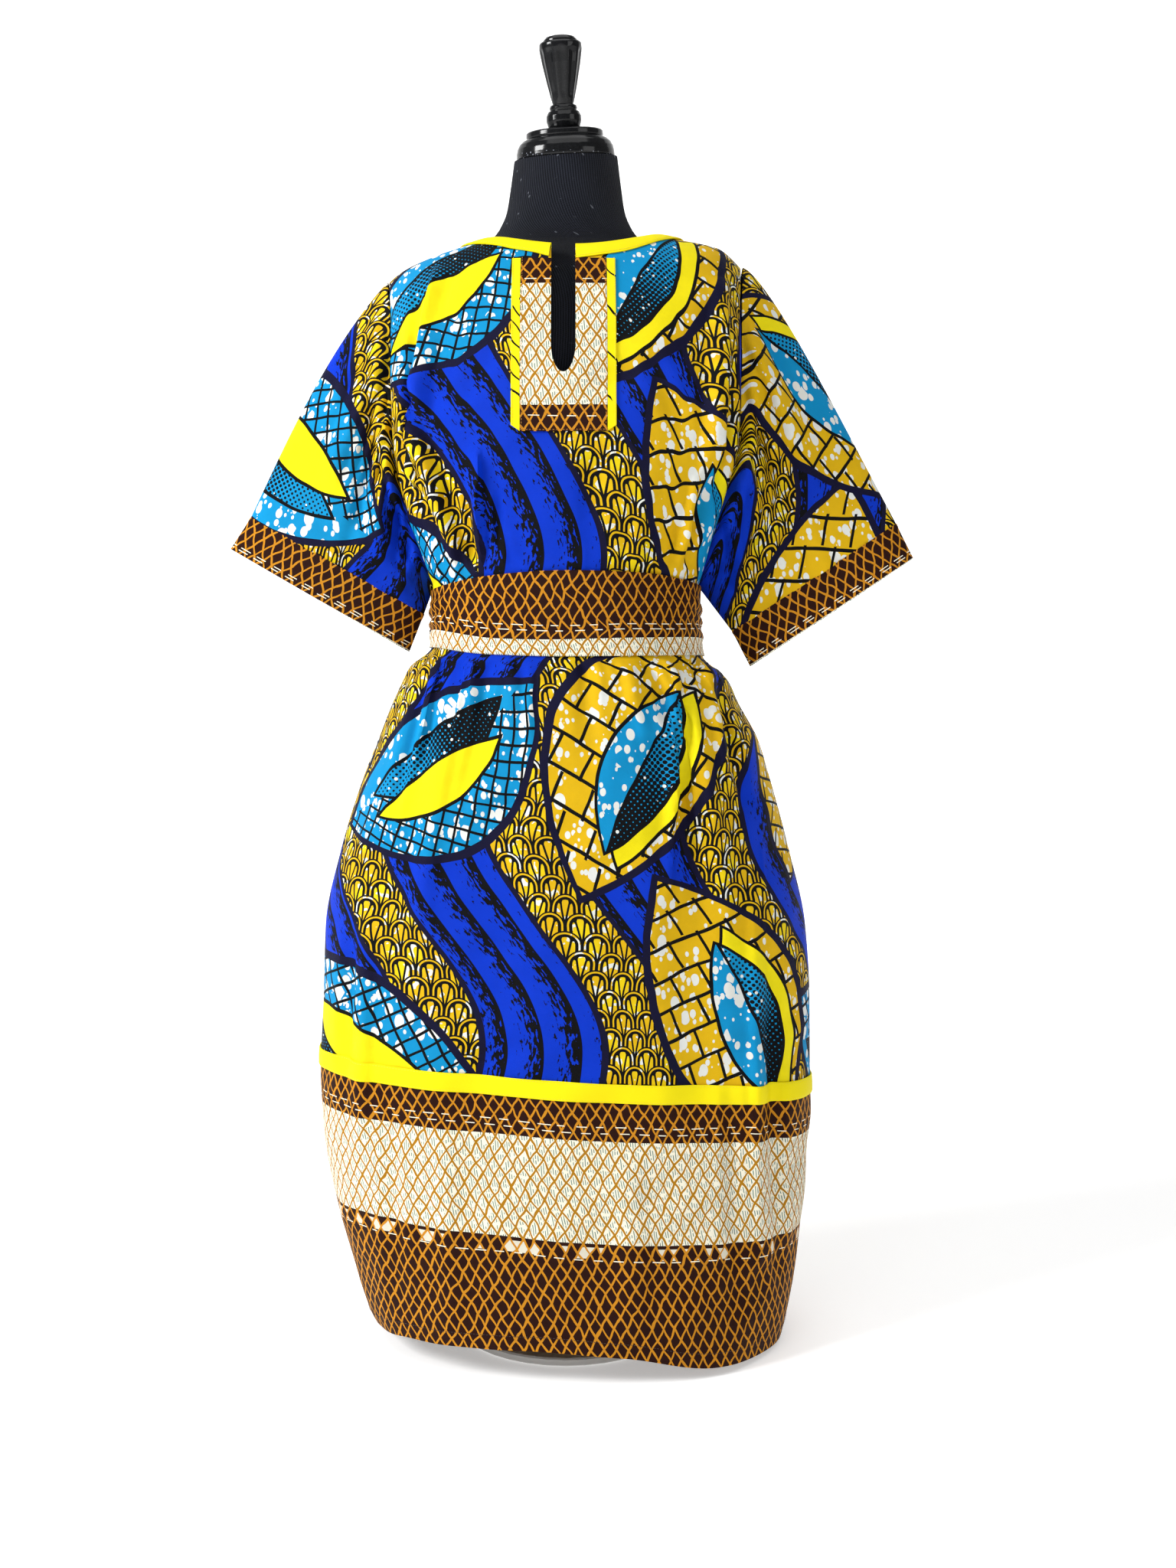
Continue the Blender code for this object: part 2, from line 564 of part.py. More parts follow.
def facing_patch(rows, left, right, foot_left, foot_right, top):
    """A patch laid on the front between two upright edges, its points the front's own."""
    last_i, last_j = len(rows[0]) - 1, len(rows) - 1
    first_j = last_j - len(BODICE_ROW_SHARES)

    def column_of(x, j):
        return search(0.0, last_i, lambda i: on_grid(rows, i, j).x < x)

    def row_of(z, i):
        return search(first_j, last_j, lambda j: on_grid(rows, i, j).z < z)

    middle_i = 0.5 * last_i
    j_foot = row_of(0.5 * (foot_left + foot_right), middle_i)
    j_top = row_of(top, middle_i)
    inner_rows = [j for j in range(last_j) if j_foot + CELL_MARGIN < j < j_top - CELL_MARGIN]
    low = max(column_of(left, j_foot), column_of(left, j_top)) + CELL_MARGIN
    high = min(column_of(right, j_foot), column_of(right, j_top)) - CELL_MARGIN
    inner_columns = [i for i in range(last_i) if low < i < high]
    patch = []
    for j in [j_foot] + inner_rows + [j_top]:
        first_i, final_i = column_of(left, j), column_of(right, j)
        row = []
        for i in [first_i] + inner_columns + [final_i]:
            row_j = j
            if j == j_foot:
                row_j = row_of(mix(foot_left, foot_right, (i - first_i) / (final_i - first_i)), i)
            elif j == j_top:
                row_j = row_of(top, i)
            row.append(lifted(rows, i, row_j, LAY_GAP))
        patch.append(row)
    return patch


def binding_patch(rows, face, start_x, end_x):
    """A stretch of the neck binding, laid on a panel's last row along the neckline."""
    last_j = len(rows) - 1
    first_j = last_j - len(BODICE_ROW_SHARES)
    reach = (NECK_FRONT_DEPTH if face < 0 else NECK_BACK_DEPTH) + BINDING_WIDTH
    width = NECK_HALF_WIDTH + BINDING_WIDTH

    def outside(i, j):
        point = on_grid(rows, i, j)
        return ((point.x - NECK_CENTRE_X) / width) ** 2 + (point.y / reach) ** 2 > 1.0

    def column_of(x):
        return search(0.0, len(rows[0]) - 1.0, lambda i: on_grid(rows, i, last_j).x < x)

    start, end = column_of(start_x), column_of(end_x)
    inner = [i for i in range(len(rows[0])) if start + CELL_MARGIN < i < end - CELL_MARGIN]
    columns = [start] + inner + [end]
    patch = [[] for _ in range(BINDING_ROWS + 1)]
    for i in columns:
        foot = search(first_j, last_j, lambda j: outside(i, j))
        offset = abs(on_grid(rows, i, last_j).x - NECK_CENTRE_X) / NECK_HALF_WIDTH
        gap = BINDING_GAP * (1.0 + BINDING_CORNER_RISE * min(offset, 1.0) ** 6)
        for k, row in enumerate(patch):
            row.append(lifted(rows, i, mix(foot, last_j, k / BINDING_ROWS), gap))
    return patch


def armhole_point(side, face, share):
    """A point of the armhole seam, from the shoulder (share 0) to the underarm (share 1)."""
    point = bodice_point(face, float(side), 1.0 - share)
    point.y = face * armhole_depth(1.0 - share)
    return point


def sleeve_fold(along, place):
    """Height of the sleeve's folds, given the places along its girth and down its length."""
    total = 0.0
    for fold in SLEEVE_FOLDS:
        run = (place - fold.start) / (fold.end - fold.start)
        if 0.0 < run < 1.0:
            offset = (along - fold.along - fold.drift * run) / fold.width
            total += fold.height * bump(offset) * sin(pi * run ** 0.6)
    return total


def sleeve_ends(table, side):
    """The row of a sleeve table for one side."""
    return next(row for row in table if row.side == side)


def flat_loop_point(ends, share, face, half_depth):
    """A point of a flattened cuff loop, from its upper fold (share 0) to its under fold (1)."""
    x = ends.side * mix(ends.upper_x, ends.under_x, share)
    z = mix(ends.upper_z, ends.under_z, share)
    swell = max(sin(pi * share), 0.0) ** CUFF_FULLNESS
    return Vector((x, face * half_depth * swell - CUFF_FORWARD, z))


def loop_places():
    """Face and share down for each point of a sleeve's ring, level with the bodice rows."""
    shares = [1.0 - v for v in BODICE_ROW_SHARES[::-1]] + [1.0]
    return [(-1, share) for share in shares] + [(1, share) for share in shares[-2:0:-1]]


def sleeve_loop(side, place):
    """One ring of a sleeve, place 0 at the armhole and 1 at the cuff's seam."""
    ends = sleeve_ends(CUFF_SEAM, side)
    ring = []
    for face, share in loop_places():
        start = armhole_point(side, face, share)
        end = flat_loop_point(ends, share, face, CUFF_HALF_DEPTH)
        point = start.lerp(end, place)
        hump = SLEEVE_BULGE * sin(pi * place ** SLEEVE_BULGE_SKEW[side]) * (1.0 - share) ** 2
        point.x += side * hump * BULGE_OUT
        point.z += hump * BULGE_UP
        point.y += face * sleeve_fold(share, place) * sin(pi * share) ** 0.5
        ring.append(point)
    return ring


def sleeve_rows(side):
    """Rings of a sleeve from the armhole to the cuff's seam."""
    rows = []
    for j in range(SLEEVE_ROWS + 1):
        place = mix(SLEEVE_START, SLEEVE_END, (j / SLEEVE_ROWS) ** SLEEVE_ROW_SPACING)
        rows.append(sleeve_loop(side, place))
    return rows


def cuff_rows(side):
    """Rings of a cuff, from its seam with the sleeve to its hem."""
    seam = sleeve_ends(CUFF_SEAM, side)
    hem = sleeve_ends(CUFF_HEM, side)
    rows = []
    for place in (CUFF_GAP_SHARE, 0.5, 1.0):
        ring = []
        for face, share in loop_places():
            top = flat_loop_point(seam, share, face, CUFF_HALF_DEPTH)
            foot = flat_loop_point(hem, share, face, CUFF_HALF_DEPTH * CUFF_HEM_SPREAD)
            ring.append(top.lerp(foot, place))
        rows.append(ring)
    return rows


def tail_rows(back, tail):
    """Rows of one end of the sash, which hangs on the back of the skirt from the knot."""
    rows = []
    for j, height in enumerate([BAND_HEIGHT, BAND_HEIGHT] + SKIRT_ROW_HEIGHTS):
        if tail.foot < height < TAIL_TOP:
            columns = range(tail.first_column, tail.last_column + 1)
            rows.append([lifted(back, i, j, TAIL_GAP) for i in columns])
    return rows


def form_rows():
    """Rings of the dress form, from its flat underside to the tilted top of its neck."""
    rows = []
    for level in FORM_LEVELS:
        ring = []
        for i in range(FORM_COLUMNS):
            angle = 2.0 * pi * i / FORM_COLUMNS - pi
            x = level.half_width * cos(angle)
            depth = level.front if angle < 0.0 else level.back
            y = depth * sin(angle)
            tilt = ramp(level.z, FORM_TILT_FROM, NECK_TOP_HEIGHT)
            slope = y * tan(HEAD_LEAN) / cos(HEAD_TILT) - x * tan(HEAD_TILT)
            ring.append(Vector((x, y, level.z + tilt * slope)))
        rows.append(ring)
    return rows


def new_collection(name):
    """Add a collection to the scene."""
    collection = bpy.data.collections.new(name)
    bpy.context.scene.collection.children.link(collection)
    return collection


def make_material(finish):
    """Give the material of a finish, made on its first use."""
    material = bpy.data.materials.get(finish.name)
    if material is None:
        material = bpy.data.materials.new(finish.name)
        material.use_nodes = True
        shader = material.node_tree.nodes["Principled BSDF"]
        shader.inputs["Base Color"].default_value = (*finish.colour, 1.0)
        shader.inputs["Roughness"].default_value = finish.roughness
        shader.inputs["Metallic"].default_value = finish.metallic
    return material


def add_object(name, mesh, collection, finish):
    """Add a mesh as an object with its finish."""
    obj = bpy.data.objects.new(name, mesh)
    collection.objects.link(obj)
    mesh.materials.append(make_material(finish))
    return obj


def loft(name, rows, wrap=False, flip=False, capped=False):
    """Join rows of points by faces; wrap joins each row's ends, capped closes both rings."""
    mesh = bpy.data.meshes.new(name)
    work = bmesh.new()
    grid = [[work.verts.new(point) for point in row] for row in rows]
    count = len(rows[0])
    for lower, upper in zip(grid, grid[1:]):
        for i in range(count if wrap else count - 1):
            k = (i + 1) % count
            a, b, c, d = lower[i], lower[k], upper[k], upper[i]
            inward = splits_inward([vert.co for vert in (a, b, c, d)])
            for corners in (((a, b, c), (a, c, d)) if inward else ((a, b, d), (b, c, d))):
                work.faces.new(corners[::-1] if flip else corners)
    if capped:
        work.faces.new(grid[0][::-1])
        work.faces.new(grid[-1])
    work.to_mesh(mesh)
    work.free()
    mesh.shade_smooth()
    return mesh


def add_cloth(name, rows, collection, finish, thickness, outward, wrap=False, flip=False):
    """Add a sheet of cloth: its open surface, thickened inward or outward."""
    obj = add_object(name, loft(name, rows, wrap, flip), collection, finish)
    wall = obj.modifiers.new("cloth wall", "SOLIDIFY")
    wall.thickness = thickness
    wall.offset = 1.0 if outward else -1.0
    wall.use_rim = True
    return obj


def add_turned(name, profile, base, collection, finish):
    """Turn a profile about a tilted axis that stands on the neck's top face."""
    mesh = bpy.data.meshes.new(name)
    work = bmesh.new()
    points = [work.verts.new((point.r, 0.0, point.h)) for point in profile]
    for start, end in zip(points, points[1:]):
        work.edges.new((start, end))
    work.to_mesh(mesh)
    work.free()
    obj = add_object(name, mesh, collection, finish)
    turn = obj.modifiers.new("turned", "SCREW")
    turn.steps = TURN_STEPS
    turn.render_steps = TURN_STEPS
    turn.use_merge_vertices = True
    turn.merge_threshold = 0.00001
    turn.use_smooth_shade = True
    obj.location = base
    obj.rotation_euler = (HEAD_LEAN, HEAD_TILT, 0.0)
    return obj


def slit_outline():
    """Outline of the front opening: straight sides and a round foot, open above the neck."""
    foot = SLIT_FOOT_HEIGHT
    points = []
    for k in range(SLIT_STEPS + 1):
        angle = pi * k / SLIT_STEPS
        points.append((-cos(angle) * SLIT_HALF_WIDTH, foot + SLIT_ROUNDING * (1.0 - sin(angle))))
    top = shoulder_height(0.0) + 0.02
    return [(-SLIT_HALF_WIDTH, top)] + points + [(SLIT_HALF_WIDTH, top)]


def add_slit_cutter(collection):
    """Add the prism that cuts the front opening."""
    curve = bpy.data.curves.new("slit_cutter", "CURVE")
    curve.dimensions = "2D"
    curve.fill_mode = "BOTH"
    curve.extrude = CUTTER_HALF_DEPTH
    outline = slit_outline()
    spline = curve.splines.new("POLY")
    spline.points.add(len(outline) - 1)
    for point, (x, z) in zip(spline.points, outline):
        point.co = (x, z, 0.0, 1.0)
    spline.use_cyclic_u = True
    flat = bpy.data.objects.new("slit_outline", curve)
    collection.objects.link(flat)
    flat.location = (SLIT_CENTRE_X, CUTTER_PLACE_Y, 0.0)
    flat.rotation_euler = (radians(90.0), 0.0, 0.0)
    bpy.context.view_layer.update()
    evaluated = flat.evaluated_get(bpy.context.evaluated_depsgraph_get())
    mesh = bpy.data.meshes.new_from_object(evaluated)
    work = bmesh.new()
    work.from_mesh(mesh)
    bmesh.ops.remove_doubles(work, verts=work.verts, dist=0.00001)
    bmesh.ops.recalc_face_normals(work, faces=work.faces)
    work.to_mesh(mesh)
    work.free()
    cutter = bpy.data.objects.new("slit_cutter", mesh)
    cutter.matrix_world = flat.matrix_world
    collection.objects.link(cutter)
    bpy.data.objects.remove(flat)
    cutter.hide_render = True
    cutter.display_type = "WIRE"
    return cutter


def cut(obj, cutter):
    """Cut an object by a cutter."""
    boolean = obj.modifiers.new("opening", "BOOLEAN")
    boolean.operation = "DIFFERENCE"
    boolean.object = cutter


def add_panels(parts, panels, cutter):
    """Front and back, with the front opening cut."""
    front = add_cloth("dress_front", panels[-1], parts, WAX_PRINT, CLOTH, False)
    add_cloth("dress_back", panels[1], parts, WAX_PRINT, CLOTH, False, flip=True)
    cut(front, cutter)


def add_sleeves(parts):
    """Two sleeves and their cuffs."""
    for side, name in ((-1, "left"), (1, "right")):
        turned = side < 0
        add_cloth("sleeve_" + name, sleeve_rows(side), parts, WAX_PRINT, CLOTH, False,
                  wrap=True, flip=turned)
        add_cloth("cuff_" + name, cuff_rows(side), parts, NET_PRINT, CLOTH, False,
                  wrap=True, flip=turned)


def add_border(parts):
    """The two halves of the hem border and the band that covers their seam."""
    add_cloth("border_front", border_rows(-1), parts, NET_PRINT, CLOTH, False)
    add_cloth("border_back", border_rows(1), parts, NET_PRINT, CLOTH, False, flip=True)
    add_cloth("hip_band", band_rows(), parts, YELLOW_COTTON, TRIM_CLOTH, True, wrap=True)


def add_facing(parts, front, cutter):
    """The facing round the front opening and the strips down its sides."""
    facing = facing_patch(front, FACING_LEFT, FACING_RIGHT, FACING_FOOT, FACING_FOOT, FACING_TOP)
    cut(add_cloth("placket", facing, parts, NET_PRINT, TRIM_CLOTH, True), cutter)
    inner_left = FACING_LEFT - SEAM_GAP
    outer_left = inner_left - SIDE_STRIP_WIDTH
    inner_right = FACING_RIGHT + SEAM_GAP
    outer_right = inner_right + SIDE_STRIP_WIDTH
    high = FACING_FOOT + SIDE_STRIP_RISE
    left = facing_patch(front, outer_left, inner_left, high, FACING_FOOT, FACING_TOP)
    right = facing_patch(front, inner_right, outer_right, FACING_FOOT, high, FACING_TOP)
    add_cloth("placket_strip_left", left, parts, YELLOW_COTTON, TRIM_CLOTH, True)
    add_cloth("placket_strip_right", right, parts, YELLOW_COTTON, TRIM_CLOTH, True)


def add_binding(parts, panels):
    """The neck binding, in the stretches between the front opening and the shoulder seams."""
    slit = SLIT_HALF_WIDTH + SEAM_GAP
    reach = NECK_HALF_WIDTH + 0.7 * BINDING_WIDTH
    stretches = [
        ("neck_binding_left", -1, NECK_CENTRE_X - reach, SLIT_CENTRE_X - slit),
        ("neck_binding_right", -1, SLIT_CENTRE_X + slit, NECK_CENTRE_X + reach),
        ("neck_binding_back", 1, NECK_CENTRE_X - reach, NECK_CENTRE_X + reach),
    ]
    for name, face, start, end in stretches:
        rows = binding_patch(panels[face], face, start, end)
        add_cloth(name, rows, parts, YELLOW_COTTON, TRIM_CLOTH, True, flip=face > 0)


def add_sash(parts, back_panel):
    """The sash, its knot and its two ends."""
    add_cloth("sash", sash_rows(), parts, NET_PRINT, SASH_CLOTH, True, wrap=True)
    mesh = bpy.data.meshes.new("sash_knot")
    work = bmesh.new()
    bmesh.ops.create_uvsphere(work, u_segments=KNOT_SEGMENTS, v_segments=KNOT_RINGS, radius=1.0)
    back = skirt_point(1, 0.0, KNOT_HEIGHT).y + SASH_GAP + SASH_CLOTH + SEAM_GAP
    place = Matrix.Translation((0.0, back + KNOT_SIZE[1], KNOT_HEIGHT))
    work.transform(place @ Matrix.Diagonal((*KNOT_SIZE, 1.0)))
    work.to_mesh(mesh)
    work.free()
    mesh.shade_smooth()
    add_object("sash_knot", mesh, parts, NET_PRINT)
    for tail in SASH_TAILS:
        add_cloth(tail.name, tail_rows(back_panel, tail), parts, NET_PRINT, CLOTH, True, flip=True)


def add_form(parts):
    """The knit-covered form, its cap and finial, and its pole and base."""
    add_object("form_torso", loft("form_torso", form_rows(), wrap=True, capped=True), parts,
               BLACK_KNIT)
    neck_top = Vector((0.0, 0.0, NECK_TOP_HEIGHT))
    add_turned("neck_cap", CAP_PROFILE, neck_top, parts, BLACK_LACQUER)
    add_turned("finial", FINIAL_PROFILE, neck_top, parts, BLACK_LACQUER)
    pole_foot = BASE_THICKNESS + SEAM_GAP
    pole_top = TORSO_FOOT - SEAM_GAP
    add_cylinder("pole", POLE_RADIUS, pole_foot, pole_top, POLE_SEGMENTS, 0.0, parts)
    add_cylinder("base_plate", BASE_RADIUS, 0.0, BASE_THICKNESS, BASE_SEGMENTS, BASE_EDGE, parts)


def add_cylinder(name, radius, foot, top, segments, edge, parts):
    """An upright round piece, with a rounded edge where edge isn't nothing."""
    mesh = bpy.data.meshes.new(name)
    work = bmesh.new()
    bmesh.ops.create_cone(work, cap_ends=True, segments=segments, radius1=radius, radius2=radius,
                          depth=top - foot, matrix=Matrix.Translation((0, 0, 0.5 * (foot + top))))
    work.to_mesh(mesh)
    work.free()
    mesh.shade_smooth()
    mesh.set_sharp_from_angle(angle=radians(35.0))
    obj = add_object(name, mesh, parts, PALE_METAL)
    if edge:
        rounded = obj.modifiers.new("rounded edge", "BEVEL")
        rounded.width = edge
        rounded.segments = 1
        rounded.limit_method = "ANGLE"
        rounded.angle_limit = radians(40.0)


def main():
    """Build the dress and its form."""
    for obj in list(bpy.data.objects):
        bpy.data.objects.remove(obj)
    parts = new_collection(COLLECTION_NAME)
    cutters = new_collection(CUTTER_COLLECTION_NAME)
    cutter = add_slit_cutter(cutters)
    panels = {face: panel_rows(face) for face in (-1, 1)}
    add_panels(parts, panels, cutter)
    add_sleeves(parts)
    add_border(parts)
    add_facing(parts, panels[-1], cutter)
    add_binding(parts, panels)
    add_sash(parts, panels[1])
    add_form(parts)


main()
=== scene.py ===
"""Looks of a wax-print shift dress with a tied sash, on its limbless dress form.

Metres, Z up, the wearer faces -Y and the image's right is +X, as in the frame.
"""
from collections import namedtuple
from functools import cache, partialmethod
from math import cos, pi, radians, sin, tan

import bmesh
import bpy
import numpy as np
from bpy.props import FloatProperty, FloatVectorProperty, IntProperty, PointerProperty
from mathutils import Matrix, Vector
from mathutils.bvhtree import BVHTree


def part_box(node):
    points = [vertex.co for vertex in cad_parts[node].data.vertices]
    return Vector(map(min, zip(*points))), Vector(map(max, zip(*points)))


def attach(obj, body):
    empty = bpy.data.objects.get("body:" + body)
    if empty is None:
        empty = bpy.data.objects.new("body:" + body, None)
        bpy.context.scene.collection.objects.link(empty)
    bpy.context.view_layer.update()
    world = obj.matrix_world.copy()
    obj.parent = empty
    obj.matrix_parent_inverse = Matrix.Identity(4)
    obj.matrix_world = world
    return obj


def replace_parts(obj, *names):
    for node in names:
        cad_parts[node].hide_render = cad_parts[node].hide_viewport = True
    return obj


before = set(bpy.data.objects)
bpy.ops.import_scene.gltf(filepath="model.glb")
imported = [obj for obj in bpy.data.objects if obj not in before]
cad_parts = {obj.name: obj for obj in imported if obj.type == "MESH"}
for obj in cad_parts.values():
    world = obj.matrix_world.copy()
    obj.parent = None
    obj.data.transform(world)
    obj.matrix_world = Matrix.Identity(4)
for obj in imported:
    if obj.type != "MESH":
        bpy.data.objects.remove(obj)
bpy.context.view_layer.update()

bl_info = {
    "name": "Shift Dress on a Dress Form",
    "version": (1, 0, 0),
    "blender": (4, 5, 0),
    "location": "View3D > Sidebar > Shift Dress",
    "description": "Adds a wax-print shift dress with a tied sash on its dress form",
    "category": "Add Mesh",
}

FRONT = -1
BACK = 1
FACES = {"front": FRONT, "back": BACK}
SIDES = {"left": -1, "right": 1}

# Form of the dress, in metres
SEAM_GAP = 0.0003
SHOULDER_GAP = 0.0006
UNDERARM_HEIGHT = 0.770
BAND_HEIGHT = 0.2772
BAND_SLOPE = -0.056
BAND_WIDTH = 0.018
NEAR_ROW = 0.003
PANEL_END_BELOW_BAND = 0.011
SECTION_POWER = 2.2
SHOULDER_POWER = 3.0
ARMHOLE_DEPTH = 0.050
ARMHOLE_POWER = 0.6
HIP_LEVEL = 0.420
# Rows of the panels follow the sash's lower edge between these heights, most at SASH_FOOT_ROW
SASH_ROWS_FROM = 0.600
SASH_FOOT_ROW = 0.690
SASH_ROWS_TO = 0.700

# Neckline and front slit
NECK_CENTRE_X = 0.006
NECK_HALF_WIDTH = 0.1045
NECK_REACH = {FRONT: 0.0680, BACK: 0.0640}
BINDING_WIDTH = 0.0130
SLIT_CENTRE_X = -0.0025
SLIT_HALF_WIDTH = 0.0120
SLIT_FOOT_HEIGHT = 0.9646
SLIT_ROUNDING = 0.030
SLIT_STEPS = 32
SLIT_CUT_TOP = 1.16
SLIT_CUT_REACH = (-0.045, -0.165)
FACING_LEFT = -0.0443
FACING_RIGHT = 0.0400
FACING_TOP = 1.0860
FACING_FOOT = 0.9075
STRIP_WIDTH = 0.0085
STRIP_RISE = 0.006
# How far apart the strokes on each side strip are
STROKES_APART = {"left": 0.017, "right": 0.045}
BINDING_END = 0.01
BINDING_PAST_SLIT = {"left": -0.083, "right": -0.080}

# Section of a trim: share of its width and share of how far it puffs up there
BAND_SECTION = ((1.0, 0.0), (0.93, 0.5), (0.75, 0.9), (0.5, 1.0), (0.25, 0.9), (0.07, 0.5),
                (0.0, 0.0))
BAND_PUFF = 0.0007
BINDING_SECTION = ((1.0, 0.0), (0.93, 0.5), (0.75, 0.9), (0.5, 1.0), (0.25, 1.0), (0.09, 0.9),
                   (0.02, 0.5))
BINDING_PUFF = 0.0008
# How far in and down the binding goes where it turns under
BINDING_TURN_UNDER = ((0.0010, 0.0012), (0.0012, 0.0040))

# Stitch lines: how far in from an edge, and how far out from the cloth under them
EDGE_STITCH = 0.0013
STRIP_STITCH = 0.0012
FOOT_STITCH = 0.0014
THREAD_LIFT = 0.0003
BAND_THREAD_LIFT = 0.0004
HEM_THREAD_LIFT = 0.0004
BINDING_THREAD_LIFT = (0.0010, 0.0012)
# How far above the facing's foot its upright stitch lines start
STITCH_START = {"orange": 0.0015, "yellow": 0.0070}
CUFF_STITCHES = (0.10, 0.80)
CUFF_THREAD_SPREAD = 0.012
STITCH_FILL = 0.36
# The colour of each thread and the slot of the cloth that it sews
THREADS = {"yellow": "yellow_cotton", "orange": "net_print_cotton", "brown": "net_print_cotton"}

# Where the prints start on the cloths, and the smallest flat size that is worked out for a cut
PRINT_START = {FRONT: 0.04, BACK: 0.31}
KNOT_PRINT_START = (0.30, 0.04)
TAIL_PRINT_START = (0.50, 0.04)
LEAST_FLAT = 0.0101
LEAST_AREA_SHARE = 0.31
# A ray that meets no surface takes the point nearest to its end, and counts as the farthest
MISSED_RAY_REACH = 0.42
MISSED_RAY_DISTANCE = 9.0
# The rays that find the dress's surface start this far before or behind its axis, or this high
RAY_DEPTH = 0.5
RAY_HEIGHT = 1.4
CLOTH_SHARP_ANGLE = radians(52.0)
SOLID_SHARP_ANGLE = radians(60.0)

# Rows and columns of the cloth grids
PANEL_COLUMNS = {FRONT: 180, BACK: 130}
SKIRT_ROWS = {FRONT: 130, BACK: 96}
BODICE_ROWS = {FRONT: 92, BACK: 70}
BORDER_ROWS = 56
YOKE_ROWS = 90
RING_POINTS = 208
SLEEVE_ROWS = 72
FACING_ROWS = 90
FACING_COLUMNS = 44
STRIP_COLUMNS = 7
STITCH_COLUMNS = 60
FOOT_STITCH_COLUMNS = 40
BINDING_COLUMNS = {FRONT: 90, BACK: 120}
CUFF_ROWS = 14
SASH_ROWS = 30
# Powers that draw the rows together towards the neckline, the shoulder and the cuff
NECKLINE_ROW_POWER = 1.35
YOKE_ROW_POWER = 1.6
SLEEVE_ROW_POWER = 0.95
# The share of the bodice that the yoke takes up, and about where along its length, from the
# armhole (0) to the cuff's seam (1), a sleeve's cloth starts and ends
YOKE_SHARE = 0.5
SLEEVE_START = 0.0025
SLEEVE_END = 0.9988


def rows_of(kind, *rows):
    """A table whose columns are named by a named tuple."""
    return [kind(*row) for row in rows]


# Half widths to the left and right and half depths of the dress, by height and then, above the
# underarm, by share of the way up to the shoulder
Level = namedtuple("Level", "z left right front back")
BODY_LEVELS = rows_of(
    Level,
    (0.0050, 0.190, 0.2240, 0.163, 0.161),
    (0.0338, 0.206, 0.2312, 0.158, 0.157),
    (0.0722, 0.219, 0.2384, 0.150, 0.150),
    (0.1106, 0.231, 0.2432, 0.142, 0.143),
    (0.1490, 0.241, 0.2488, 0.133, 0.135),
    (0.1874, 0.249, 0.2505, 0.124, 0.127),
    (0.2258, 0.253, 0.2550, 0.117, 0.121),
    (0.2642, 0.255, 0.2540, 0.113, 0.118),
    (0.3410, 0.252, 0.2536, 0.117, 0.122),
    (0.4178, 0.2496, 0.2488, 0.123, 0.130),
    (0.4946, 0.2336, 0.2320, 0.129, 0.137),
    (0.5714, 0.2096, 0.2112, 0.131, 0.140),
    (0.6098, 0.1944, 0.1992, 0.130, 0.138),
    (0.6482, 0.1792, 0.1784, 0.127, 0.133),
    (0.6674, 0.1704, 0.1700, 0.123, 0.128),
    (0.6780, 0.1655, 0.1610, 0.119, 0.123),
    (0.6866, 0.1595, 0.1490, 0.114, 0.116),
    (0.6960, 0.1460, 0.1415, 0.1085, 0.107),
    (0.7060, 0.1385, 0.1395, 0.1065, 0.104),
    (0.7400, 0.1365, 0.1365, 0.1055, 0.102),
    (0.7700, 0.1385, 0.1385, 0.1080, 0.104),
)
BODICE_LEVELS = rows_of(
    Level,
    (0.00, 0.1385, 0.1385, 0.1080, 0.1040),
    (0.10, 0.1490, 0.1470, 0.1130, 0.1060),
    (0.22, 0.1620, 0.1580, 0.1190, 0.1090),
    (0.43, 0.1744, 0.1750, 0.1270, 0.1150),
    (0.65, 0.1775, 0.1775, 0.1280, 0.1180),
    (0.85, 0.1790, 0.1785, 0.1200, 0.1170),
    (1.00, 0.1840, 0.1820, 0.1150, 0.1150),
)

# The shoulder line's places in the front view, and the hem's heights across each panel
Point = namedtuple("Point", "x z")
SHOULDER_LINE = rows_of(
    Point,
    (-0.1840, 1.0850), (-0.1650, 1.0960), (-0.1320, 1.1090),
    (-0.0992, 1.1186), (-0.0600, 1.1275), (0.0000, 1.1290),
    (0.0864, 1.1285), (0.1160, 1.1245), (0.1560, 1.1180),
    (0.1820, 1.1000),
)
HEM = {
    FRONT: rows_of(Point, (-1.00, 0.0160), (-0.75, 0.0280), (-0.20, 0.0330), (0.20, 0.0265),
                   (0.62, 0.0085), (0.90, 0.0060), (1.00, 0.0070)),
    BACK: rows_of(Point, (-1.00, 0.0160), (0.00, 0.0190), (1.00, 0.0070)),
}

